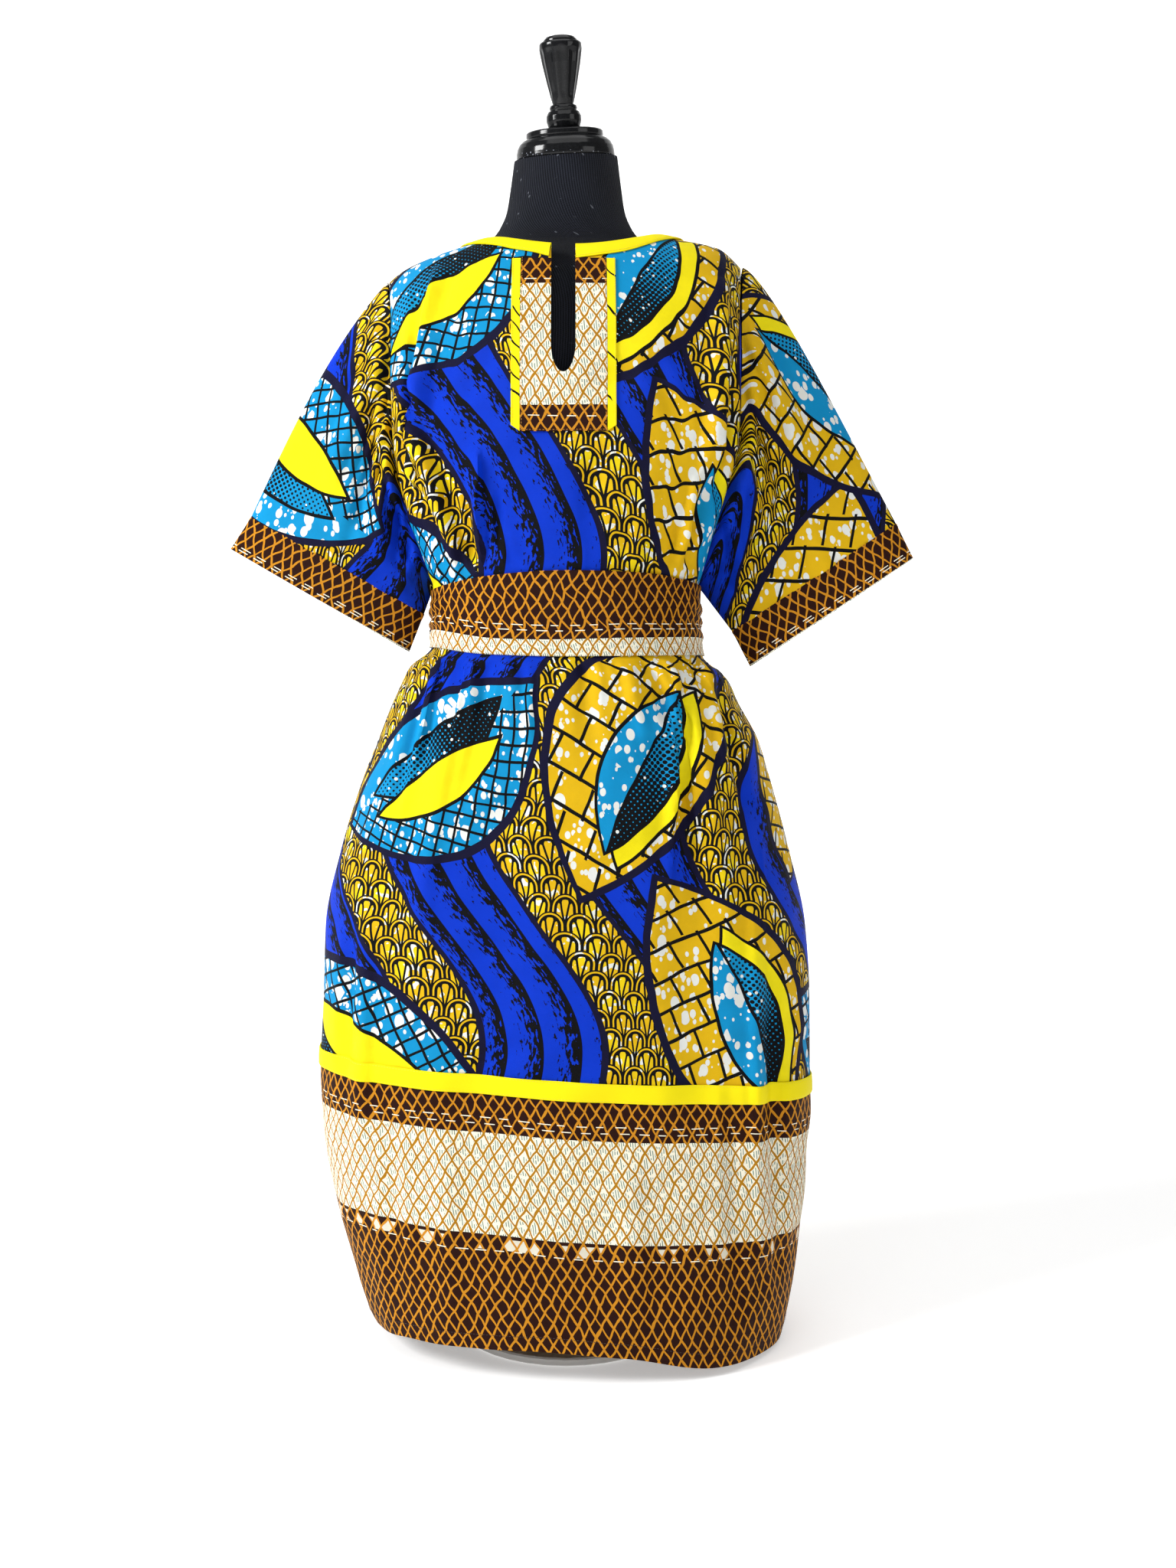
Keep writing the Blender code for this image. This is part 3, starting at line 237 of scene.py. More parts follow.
# Heights of the sash's edges across each panel, and its creases: which side of the middle they
# lie on, their place up the sash at the side seam and at their inner end, and how far in they reach
SashEdge = namedtuple("SashEdge", "x top foot")
SASH_EDGE = {
    FRONT: rows_of(SashEdge, (-1.0, 0.7620, 0.7030), (-0.5, 0.7715, 0.6925), (0.0, 0.7748, 0.6900),
                   (0.6, 0.7735, 0.6915), (1.0, 0.7665, 0.6945)),
    BACK: rows_of(SashEdge, (-1.0, 0.7620, 0.7030), (0.0, 0.7600, 0.7040), (1.0, 0.7665, 0.6945)),
}
SashCrease = namedtuple("SashCrease", "side start end width height reach")
SASH_CREASES = {
    FRONT: rows_of(
        SashCrease,
        (-1, 0.62, 0.86, 0.10, 0.0032, 0.55), (-1, 0.40, 0.52, 0.08, 0.0026, 0.45),
        (-1, 0.78, 0.70, 0.07, 0.0018, 0.35), (1, 0.66, 0.84, 0.09, 0.0028, 0.50),
        (1, 0.48, 0.60, 0.08, 0.0024, 0.40), (1, 0.28, 0.36, 0.08, 0.0018, 0.35),
        (-1, 0.18, 0.26, 0.07, 0.0016, 0.30),
    ),
    BACK: rows_of(
        SashCrease,
        (-1, 0.70, 0.50, 0.10, 0.0030, 0.95), (-1, 0.30, 0.46, 0.10, 0.0028, 0.95),
        (1, 0.72, 0.52, 0.10, 0.0030, 0.95), (1, 0.28, 0.44, 0.10, 0.0028, 0.95),
    ),
}

# The folds that the solids have too: ridges are positive and troughs negative
Fold = namedtuple("Fold", "across width height top foot drift")
FOLDS = {
    FRONT: rows_of(
        Fold,
        (-0.86, 0.060, 0.0050, 0.694, 0.50, 0.06), (-0.74, 0.055, -0.0060, 0.692, 0.42, 0.10),
        (-0.60, 0.070, 0.0055, 0.690, 0.36, 0.04), (-0.44, 0.060, -0.0055, 0.690, 0.48, -0.02),
        (-0.28, 0.070, 0.0040, 0.689, 0.55, -0.04), (0.10, 0.090, -0.0030, 0.689, 0.50, 0.02),
        (0.36, 0.060, 0.0040, 0.690, 0.52, 0.06), (0.52, 0.055, -0.0065, 0.690, 0.38, 0.02),
        (0.66, 0.060, 0.0060, 0.691, 0.36, 0.00), (0.80, 0.050, -0.0060, 0.692, 0.50, 0.05),
        (-0.30, 0.240, -0.0060, 0.560, 0.10, 0.00), (0.46, 0.150, -0.0070, 0.620, 0.16, 0.06),
        (-0.72, 0.090, -0.0045, 0.905, 0.776, 0.12), (-0.50, 0.080, 0.0045, 0.930, 0.776, 0.05),
        (-0.30, 0.070, -0.0040, 0.860, 0.777, 0.03), (0.56, 0.090, 0.0045, 0.920, 0.776, -0.08),
        (0.76, 0.070, -0.0050, 0.910, 0.774, -0.10), (-0.86, 0.050, -0.0060, 1.040, 0.860, 0.00),
        (0.88, 0.050, -0.0060, 1.050, 0.850, 0.00),
    ),
    BACK: rows_of(
        Fold,
        (-0.78, 0.080, -0.0060, 0.692, 0.44, 0.06), (-0.58, 0.080, 0.0060, 0.692, 0.36, 0.04),
        (-0.36, 0.080, -0.0055, 0.692, 0.40, 0.00), (0.36, 0.080, -0.0055, 0.692, 0.42, 0.02),
        (0.58, 0.080, 0.0060, 0.690, 0.38, -0.02), (0.78, 0.070, -0.0060, 0.690, 0.48, 0.00),
        (0.00, 0.260, -0.0060, 0.560, 0.12, 0.00), (-0.46, 0.100, 0.0045, 0.930, 0.776, 0.04),
        (0.44, 0.100, 0.0045, 0.930, 0.776, -0.04), (0.00, 0.120, -0.0040, 0.900, 0.776, 0.00),
    ),
}
FOLD_FADE = 0.16
FOLD_START = 0.014

# A crease on a panel: its upper and lower end, its half width, its height, and how far
# its flanks are uneven (0 even, 1 steep on its right)
Crease = namedtuple("Crease", "x0 z0 x1 z1 width height lean")
CREASES = {
    FRONT: rows_of(
        Crease,
        (-0.128, 1.088, -0.158, 0.860, 0.013, 0.0080, -0.4),
        (-0.148, 1.060, -0.166, 0.840, 0.009, -0.0064, 0.0),
        (-0.120, 1.070, -0.146, 0.960, 0.012, -0.0030, 0.0),
        (-0.165, 1.000, -0.140, 0.905, 0.009, -0.0050, 0.0),
        (-0.160, 0.960, -0.120, 0.850, 0.008, 0.0034, 0.4),
        (-0.168, 0.880, -0.118, 0.800, 0.009, -0.0050, 0.0),
        (0.168, 0.920, 0.128, 0.810, 0.009, -0.0052, 0.0),
        (-0.150, 0.930, -0.108, 0.780, 0.011, 0.0045, 0.3),
        (-0.135, 0.900, -0.092, 0.785, 0.009, -0.0035, 0.0),
        (-0.084, 0.892, -0.080, 0.777, 0.009, 0.0058, 0.75),
        (-0.096, 0.850, -0.091, 0.779, 0.007, -0.0030, 0.0),
        (-0.066, 0.850, -0.067, 0.779, 0.007, -0.0022, 0.0),
        (-0.110, 0.815, -0.106, 0.776, 0.006, 0.0032, 0.2),
        (0.160, 1.075, 0.140, 0.800, 0.013, 0.0068, 0.4),
        (0.172, 1.000, 0.156, 0.840, 0.009, -0.0062, 0.0),
        (0.146, 0.900, 0.120, 0.782, 0.009, -0.0040, 0.0),
        (0.128, 0.870, 0.110, 0.780, 0.008, 0.0042, -0.3),
        (0.110, 0.830, 0.102, 0.778, 0.006, -0.0028, 0.0),
        (0.030, 0.900, 0.024, 0.790, 0.020, -0.0014, 0.0),
        (0.080, 0.990, 0.118, 0.900, 0.016, -0.0016, 0.0),
        (-0.060, 1.000, -0.110, 0.930, 0.016, -0.0014, 0.0),
        (0.109, 0.684, 0.100, 0.450, 0.009, 0.0042, 0.5),
        (0.121, 0.680, 0.116, 0.520, 0.008, -0.0040, 0.0),
        (0.136, 0.690, 0.158, 0.560, 0.009, 0.0040, -0.3),
        (0.150, 0.670, 0.180, 0.540, 0.010, -0.0038, 0.0),
        (-0.122, 0.690, -0.150, 0.580, 0.009, 0.0040, 0.3),
        (-0.138, 0.680, -0.172, 0.540, 0.010, -0.0040, 0.0),
        (-0.104, 0.686, -0.116, 0.610, 0.007, -0.0034, 0.0),
        (-0.090, 0.686, -0.094, 0.640, 0.006, 0.0030, 0.0),
        (-0.035, 0.684, -0.036, 0.600, 0.008, 0.0022, 0.0),
        (-0.215, 0.420, -0.224, 0.280, 0.012, -0.0040, 0.0),
        (-0.196, 0.440, -0.205, 0.180, 0.015, 0.0035, 0.2),
        (0.184, 0.480, 0.190, 0.090, 0.012, 0.0034, -0.2),
        (0.206, 0.400, 0.214, 0.060, 0.012, -0.0042, 0.0),
        (0.162, 0.300, 0.166, 0.040, 0.014, -0.0026, 0.0),
        (-0.176, 0.250, -0.165, 0.050, 0.016, -0.0026, 0.0),
        (-0.120, 0.240, -0.110, 0.045, 0.018, 0.0020, 0.0),
        (0.060, 0.200, 0.066, 0.040, 0.022, 0.0018, 0.0),
        (-0.150, 0.488, 0.060, 0.482, 0.0035, 0.0006, 0.0),
        (0.196, 0.540, 0.196, 0.300, 0.0035, 0.0006, 0.0),
    ),
    BACK: rows_of(
        Crease,
        (-0.150, 1.060, -0.150, 0.860, 0.013, 0.0052, 0.2),
        (-0.160, 0.990, -0.152, 0.830, 0.010, -0.0050, 0.0),
        (0.150, 1.050, 0.152, 0.850, 0.013, 0.0052, -0.2),
        (0.162, 0.990, 0.154, 0.830, 0.010, -0.0050, 0.0),
        (-0.130, 0.890, -0.092, 0.780, 0.010, -0.0038, 0.0),
        (-0.108, 0.870, -0.076, 0.776, 0.009, 0.0038, 0.2),
        (0.128, 0.900, 0.096, 0.776, 0.010, -0.0040, 0.0),
        (0.104, 0.880, 0.078, 0.776, 0.009, 0.0036, -0.2),
        (0.030, 0.890, 0.026, 0.775, 0.011, 0.0030, 0.0),
        (-0.036, 0.850, -0.034, 0.775, 0.010, 0.0028, 0.0),
        (-0.100, 1.020, 0.095, 1.010, 0.020, -0.0016, 0.0),
        (-0.110, 0.680, -0.124, 0.460, 0.010, 0.0044, 0.3),
        (-0.090, 0.682, -0.098, 0.520, 0.009, -0.0040, 0.0),
        (0.094, 0.680, 0.104, 0.450, 0.010, 0.0044, -0.3),
        (0.112, 0.680, 0.128, 0.520, 0.009, -0.0040, 0.0),
        (-0.200, 0.460, -0.206, 0.100, 0.015, 0.0034, 0.0),
        (0.196, 0.440, 0.204, 0.080, 0.015, 0.0034, 0.0),
        (-0.060, 0.300, -0.058, 0.060, 0.020, -0.0024, 0.0),
        (0.080, 0.320, 0.084, 0.060, 0.020, -0.0024, 0.0),
    ),
}
# The creases are this much deeper than listed
CREASE_DEPTH = 1.9
# Creases fade out between these heights at the shoulder
SHOULDER_FADE = (1.085, 1.105)

# Small waves in the cloth
RIPPLE_WAVES = 14
PANEL_RIPPLE_SEED = 5
SLEEVE_RIPPLE_SEED = 31

# Gathers that the sash draws in below and above it: how many, their half widths and greatest
# height, and how far the longest reaches
Gathers = namedtuple("Gathers", "seed count narrow wide height reach")
GATHERS_BELOW = {
    FRONT: Gathers(11, 38, 0.0042, 0.0090, 0.0046, 0.095),
    BACK: Gathers(12, 40, 0.0042, 0.0090, 0.0048, 0.110),
}
GATHERS_ABOVE = {
    FRONT: Gathers(13, 22, 0.0042, 0.0085, 0.0028, 0.060),
    BACK: Gathers(14, 24, 0.0042, 0.0090, 0.0032, 0.070),
}

# Sleeves: where each ring's upper and under edges lie in the front view
SleeveEnds = namedtuple("SleeveEnds", "upper_x upper_z under_x under_z")
CUFF_SEAM = {
    -1: SleeveEnds(0.3264, 0.8378, 0.1490, 0.7385),
    1: SleeveEnds(0.3424, 0.8314, 0.1744, 0.7210),
}
CUFF_HEM = {
    -1: SleeveEnds(0.3472, 0.8058, 0.1640, 0.7000),
    1: SleeveEnds(0.3600, 0.7962, 0.1928, 0.6850),
}
SLEEVE_BULGE = 0.011
BULGE_SKEW = {-1: 0.75, 1: 0.50}
BULGE_OUT = 0.87
BULGE_UP = 0.50
CUFF_HALF_DEPTH = 0.021
CUFF_HEM_SPREAD = 1.05
CUFF_FORWARD = 0.008
CUFF_FULLNESS = 0.55
CUFF_GAP_SHARE = 0.012
CUFF_LAP = 0.0006
CUFF_LAP_START = -0.02
SLEEVE_PRINT_START = {-1: 0.40, 1: 0.24}
# The sleeves swell beside the armhole, and their creases are this much deeper than listed
SLEEVE_SWELL = 0.0085
SWELL_PLACE = 0.11
SLEEVE_CREASE_DEPTH = 1.3

# A fold in a sleeve: along is its place from the upper edge (0) to the under edge (1)
SleeveFold = namedtuple("SleeveFold", "along width height start end drift")
SLEEVE_FOLDS = rows_of(
    SleeveFold,
    (0.22, 0.09, 0.010, 0.02, 0.75, 0.10), (0.42, 0.08, -0.010, 0.02, 0.70, 0.12),
    (0.60, 0.09, 0.011, 0.02, 0.80, 0.10), (0.80, 0.07, -0.008, 0.02, 0.60, 0.06),
)
SLEEVE_CREASES = {
    -1: rows_of(
        SleeveFold,
        (0.10, 0.054, 0.0050, 0.00, 0.60, 0.05), (0.21, 0.042, -0.0045, 0.00, 0.50, 0.06),
        (0.33, 0.042, -0.0060, 0.00, 0.60, 0.12), (0.46, 0.036, 0.0055, 0.00, 0.55, 0.12),
        (0.60, 0.036, -0.0040, 0.00, 0.45, 0.08), (0.72, 0.042, -0.0065, 0.00, 0.65, 0.08),
        (0.88, 0.036, 0.0050, 0.05, 0.95, -0.02), (0.52, 0.072, -0.0030, 0.50, 1.30, 0.05),
    ),
    1: rows_of(
        SleeveFold,
        (0.14, 0.054, -0.0045, 0.00, 0.65, 0.05), (0.25, 0.042, 0.0045, 0.00, 0.50, 0.06),
        (0.38, 0.042, 0.0050, 0.00, 0.55, 0.10), (0.54, 0.036, -0.0060, 0.00, 0.60, 0.12),
        (0.66, 0.036, 0.0040, 0.00, 0.45, 0.08), (0.76, 0.042, 0.0055, 0.00, 0.65, 0.08),
        (0.90, 0.036, -0.0050, 0.05, 0.95, -0.02), (0.42, 0.084, 0.0028, 0.50, 1.30, 0.05),
    ),
}

# Dress form: half width, front and back half depth at each height
FormLevel = namedtuple("FormLevel", "z half_width front back")
FORM_LEVELS = rows_of(
    FormLevel,
    (0.4450, 0.1500, 0.104, 0.108), (0.4530, 0.1600, 0.112, 0.116),
    (0.5000, 0.1665, 0.116, 0.121), (0.5600, 0.1670, 0.114, 0.122),
    (0.6300, 0.1480, 0.104, 0.110), (0.6900, 0.1270, 0.094, 0.094),
    (0.7350, 0.1220, 0.090, 0.088), (0.7900, 0.1270, 0.096, 0.090),
    (0.8600, 0.1380, 0.108, 0.095), (0.9200, 0.1470, 0.113, 0.099),
    (0.9800, 0.1520, 0.106, 0.101), (1.0300, 0.1580, 0.091, 0.096),
    (1.0650, 0.1640, 0.076, 0.082), (1.0832, 0.1655, 0.0660, 0.068),
    (1.0931, 0.1605, 0.0595, 0.060), (1.1003, 0.1450, 0.0560, 0.055),
    (1.1078, 0.1240, 0.0550, 0.053), (1.1154, 0.0980, 0.0540, 0.051),
    (1.1258, 0.0800, 0.0540, 0.052), (1.1378, 0.0700, 0.0535, 0.052),
    (1.1570, 0.0618, 0.0535, 0.052), (1.1800, 0.0582, 0.0520, 0.051),
    (1.2143, 0.0538, 0.0505, 0.050),
)
NECK_TOP_HEIGHT = 1.2143
FORM_TILT_FROM = 1.1450
HEAD_TILT = radians(-3.0)
HEAD_LEAN = radians(14.0)
FORM_COLUMNS = 128
FORM_ROWS = 150

# Outlines of the turned parts: radius at each height over the top of the neck
TurnPoint = namedtuple("TurnPoint", "r h")
CAP_PROFILE = rows_of(
    TurnPoint,
    (0.0000, 0.0279), (0.0328, 0.0279), (0.0383, 0.0275),
    (0.0400, 0.0263), (0.0403, 0.0223), (0.0397, 0.0210),
    (0.0411, 0.0203), (0.0447, 0.0184), (0.0479, 0.0153),
    (0.0501, 0.0112), (0.0512, 0.0065), (0.0515, 0.0019),
    (0.0508, 0.0005), (0.0000, 0.0004),
)
FINIAL_PROFILE = rows_of(
    TurnPoint,
    (0.0000, 0.1209), (0.0088, 0.1202), (0.0147, 0.1184),
    (0.0173, 0.1156), (0.0175, 0.1143), (0.0201, 0.1137),
    (0.0217, 0.1121), (0.0220, 0.1070), (0.0197, 0.0930),
    (0.0158, 0.0744), (0.0123, 0.0595), (0.0107, 0.0537),
    (0.0135, 0.0526), (0.0144, 0.0502), (0.0137, 0.0478),
    (0.0161, 0.0465), (0.0181, 0.0423), (0.0183, 0.0377),
    (0.0167, 0.0321), (0.0143, 0.0284), (0.0000, 0.0283),
)
FLUTES = 10
FLUTE_DEPTH = 0.070
FLUTE_TOP = 0.1100
FLUTE_TOP_FADE = 0.008
FLUTE_FOOT = 0.0560
FLUTE_FOOT_FADE = 0.010
TURN_COLUMNS = 96

# The sash's puff between its edges, and the rows beside each ring that give it its normals
SASH_PUFF = 0.0006
SASH_STEPS = (-0.03, 0.0, 0.03)

# Knot and hanging ends of the sash
KNOT_SIZE = (0.034, 0.017, 0.027)
KNOT_HEIGHT = 0.733
KNOT_RINGS = 40
KNOT_COLUMNS = 64
KNOT_FOLD_DEPTH = 0.07
KNOT_PINCH = 0.22
KNOT_PINCH_PLACE = 0.55
KNOT_PINCH_WIDTH = 0.22
KNOT_SQUASH = 0.10
KNOT_FOLDS = 3.5
KNOT_TWIST = 2.0
# The share of its box that the knot fills along its length and round it
KNOT_FILL = (0.97, 0.93)
TAIL_ROWS = 70
TAIL_COLUMNS = 26
TAIL_GAP = 0.0010
TAIL_WAVE = 0.0040
TAIL_SWAY = 0.004
TAIL_TILT = 0.010
TAIL_HALF_CLOTH = 0.034
# The share of its width that an end has under the knot, and where it reaches its whole width
TAIL_NARROWEST = 0.40
TAIL_WIDE_FROM = 0.45
Tail = namedtuple("Tail", "node top_x foot_x foot half_width")
TAILS = rows_of(
    Tail,
    ("sash_tail_left", -0.012, -0.040, 0.455, 0.030),
    ("sash_tail_right", 0.012, 0.040, 0.405, 0.030),
)

# The print's repeat, its ground and its leaves: a leaf's bend moves each of its
# points sideways by the bend times the square of the point's distance from the middle
PRINT_WIDTH = 0.60
PRINT_HEIGHT = 0.50
STRIPE_PITCH = 0.0375
STRIPE_PLAIN = 0.22
FLOW_SWAY = 0.062
Leaf = namedtuple("Leaf", "kind x y turn size bend")
LEAVES = rows_of(
    Leaf,
    ("lattice", 0.415, 0.300, 160, 1.06, 1.3),
    ("lattice", 0.515, 0.080, 34, 1.00, -1.4),
    ("gold", 0.112, 0.125, 62, 1.05, 1.0),
    ("gold", 0.215, 0.365, 114, 1.00, -1.0),
    ("gold", 0.335, 0.120, 84, 0.84, -1.2),
)
LEAF_HALF_LENGTH = {"gold": 0.150, "lattice": 0.134}
LEAF_HALF_WIDTH = {"gold": 0.078, "lattice": 0.074}
LEAF_OUTLINE = 0.0086
FILLING_OUTLINE = 0.0036
# Middle and half width of each band of scales, and the dark border at its sides
BAND_PLACES = [(0.060, 0.036), (0.260, 0.034), (0.460, 0.037)]
BAND_BORDER = 0.0065

# Fillings of the leaves: where their middles lie along and across the leaf, and their half sizes
Filling = namedtuple("Filling", "along across length width")
LID = Filling(0.008, 0.020, 0.088, 0.026)
DROP = Filling(-0.004, -0.006, 0.078, 0.021)
CRESCENT = Filling(-0.014, -0.026, 0.096, 0.035)
EYE = Filling(-0.016, -0.011, 0.087, 0.034)
EYE_VEIN = -0.013
EYE_VEIN_HALF_WIDTH = 0.0015

# Pitch and width of the lines drawn in the leaves, how the bricks are staggered, the net's mesh,
# and the distance between the threads of the weave
LATTICE_LINES = (0.0205, 0.0036)
LATTICE_END = 0.012
COURSE_LINES = (0.0290, 0.0034)
JOINT_LINES = (0.0320, 0.0031)
STAGGER_EVERY = 0.0300
STAGGER = 0.0170
NET_WIDTH = 0.0118
NET_HEIGHT = 0.0188
THREAD_PITCH = 0.0005
# The cap's worn chips lie below this height over the top of the neck
CHIP_HEIGHT = 0.0042

# The floor, which sweeps up behind the form, and the square lights
SWEEP_REACH = 9.0
SWEEP_START = 2.6
SWEEP_RADIUS = 2.4
Light = namedtuple("Light", "name place aim size")
LIGHTS = rows_of(
    Light,
    ("key", (-2.4, -1.2, 1.9), (0.0, 0.0, 0.7), 1.0),
    ("fill", (2.3, -1.7, 1.4), (0.0, 0.0, 0.7), 1.4),
    ("top", (0.0, -1.2, 3.2), (0.0, -0.4, 0.0), 3.0),
    ("backdrop", (0.0, 1.6, 2.6), (0.0, 4.6, 1.6), 3.0),
)


def srgb(red, green, blue):
    """A colour seen on a screen, as the light it stands for."""
    values = [c / 255.0 for c in (red, green, blue)]
    return tuple(c / 12.92 if c < 0.0405 else ((c + 0.055) / 1.055) ** 2.4 for c in values)


def colour_property(name, description, colour):
    """A colour that a user can change."""
    return FloatVectorProperty(name=name, description=description, default=colour, size=3,
                               subtype="COLOR", min=0.0, max=1.0)


class DressColours(bpy.types.PropertyGroup):
    """Colours of the cloths, threads, form and floor."""
    royal: colour_property("Royal blue", "Ground of the wax print", srgb(0, 54, 200))
    navy: colour_property("Navy", "Outlines of the wax print", srgb(14, 13, 46))
    ink: colour_property("Ink", "Black of both prints", srgb(5, 5, 8))
    gold: colour_property("Gold", "Large leaves and scales", srgb(230, 184, 16))
    yellow: colour_property("Yellow", "Bright leaves, bands and bindings", srgb(252, 234, 16))
    cyan: colour_property("Cyan", "Small leaves", srgb(8, 146, 204))
    white: colour_property("White", "Bubbles left by the wax", srgb(236, 238, 232))
    brown: colour_property("Brown", "Ground of the net print", srgb(42, 15, 8))
    orange: colour_property("Orange", "Lines of the net print", srgb(210, 140, 32))
    cream: colour_property("Cream", "Pale zones of the net print", srgb(254, 249, 228))
    teal: colour_property("Teal", "Short strokes in the pale zones", srgb(116, 140, 128))
    knit: colour_property("Knit", "Cover of the dress form", srgb(41, 44, 54))
    lint: colour_property("Lint", "Fluff on the knit", srgb(120, 124, 134))
    lacquer: colour_property("Lacquer", "Cap and finial", srgb(8, 8, 8))
    metal: colour_property("Coated metal", "Pole and base", srgb(222, 221, 218))
    floor: colour_property("Floor", "Plain pale floor", srgb(246, 246, 246))


def length_property(name, description, metres):
    """A length that a user can change."""
    return FloatProperty(name=name, description=description, default=metres, unit="LENGTH")


def number_property(name, description, value):
    """A plain number that a user can change."""
    return FloatProperty(name=name, description=description, default=value)


def power_property(name, description, watts):
    """A light's power that a user can change."""
    return FloatProperty(name=name, description=description, default=watts, unit="POWER")


class DressSizes(bpy.types.PropertyGroup):
    """Sizes that a user can change."""
    cloth: length_property("Cloth", "Thickness of the printed cotton", 0.0014)
    trim: length_property("Trim", "Thickness of bindings and facings", 0.0011)
    sash: length_property("Sash", "Thickness of the doubled sash", 0.0018)
    lay: length_property("Lay", "Gap between a trim and what it lies on", 0.0005)
    sash_lay: length_property("Sash lay", "Gap between the sash and the dress", 0.0010)
    ripple: length_property("Ripple", "Height of the small waves in the cloth", 0.0010)
    stitch_pitch: length_property("Stitch pitch", "Length of one stitch and its gap", 0.0032)
    stitch_radius: length_property("Stitch radius", "Half the thread's thickness", 0.00028)
    thread_sides: IntProperty(name="Thread sides", description="Sides of a stitch", default=5)


class DressStage(bpy.types.PropertyGroup):
    """Floor, lights and camera."""
    distance: length_property("Camera distance", "From the form's axis", 1.6)
    height: length_property("Camera height", "Above the floor", 0.629)
    lens: FloatProperty(name="Focal length", description="Of a 36 mm sensor", default=35.156,
                        subtype="DISTANCE_CAMERA")
    shift_x: number_property("Shift X", "Puts the form left of the middle", 0.01416)
    shift_y: number_property("Shift Y", "Puts the horizon above the middle", -0.0410)
    key: power_property("Key light", "Large soft light from the upper left", 92.0)
    fill: power_property("Fill light", "Soft light from the right", 11.0)
    top: power_property("Top light", "Soft light from above", 40.0)
    backdrop: power_property("Backdrop light", "Light on the sweep", 90.0)
    # The floor glow is painted light: the sweep glows with light of its own, which lightens the shadows
    # cast on it and lights the dress from below.
    glow: number_property("Floor glow", "Light that the lit white sweep gives", 0.40)
    world: number_property("Room light", "Even light of the white room", 0.15)


def add_node(tree, kind, settings, sockets):
    """Add a node: its settings first, then the values or links of its sockets."""
    node = tree.nodes.new(kind)
    for name, value in settings.items():
        setattr(node, name, value)
    for key, value in sockets.items():
        feed(tree, node, key, value)
    return node


def feed(tree, node, key, value):
    """Link a value to a node's socket, or set the socket."""
    if isinstance(value, Value):
        value = value.socket
    if isinstance(value, bpy.types.NodeSocket):
        tree.links.new(value, node.inputs[key])
    else:
        node.inputs[key].default_value = value


class Value:
    """One socket of a material, whose arithmetic adds Math nodes."""

    def __init__(self, graph, socket):
        self.graph = graph
        self.socket = socket

    def math(self, operation, *others):
        """Add a Math node on this value and the others."""
        return self.graph.math(operation, self, *others)

    def __rsub__(self, other):
        return self.graph.math("SUBTRACT", other, self)

    __add__ = __radd__ = partialmethod(math, "ADD")
    __sub__ = partialmethod(math, "SUBTRACT")
    __mul__ = __rmul__ = partialmethod(math, "MULTIPLY")
    __truediv__ = partialmethod(math, "DIVIDE")
    __abs__ = partialmethod(math, "ABSOLUTE")
    __gt__ = partialmethod(math, "GREATER_THAN")
    __lt__ = partialmethod(math, "LESS_THAN")
    fract = partialmethod(math, "FRACT")
    floor = partialmethod(math, "FLOOR")
    most = partialmethod(math, "MAXIMUM")

    def smooth(self, low, high):
        """Rise smoothly from 0 at low to 1 at high."""
        settings = {"interpolation_type": "SMOOTHSTEP"}
        return self.graph.add("ShaderNodeMapRange", settings, {0: self, 1: low, 2: high})

    def twin(self, out):
        """Another output of the node that gives this value."""
        return Value(self.graph, self.socket.node.outputs[out])


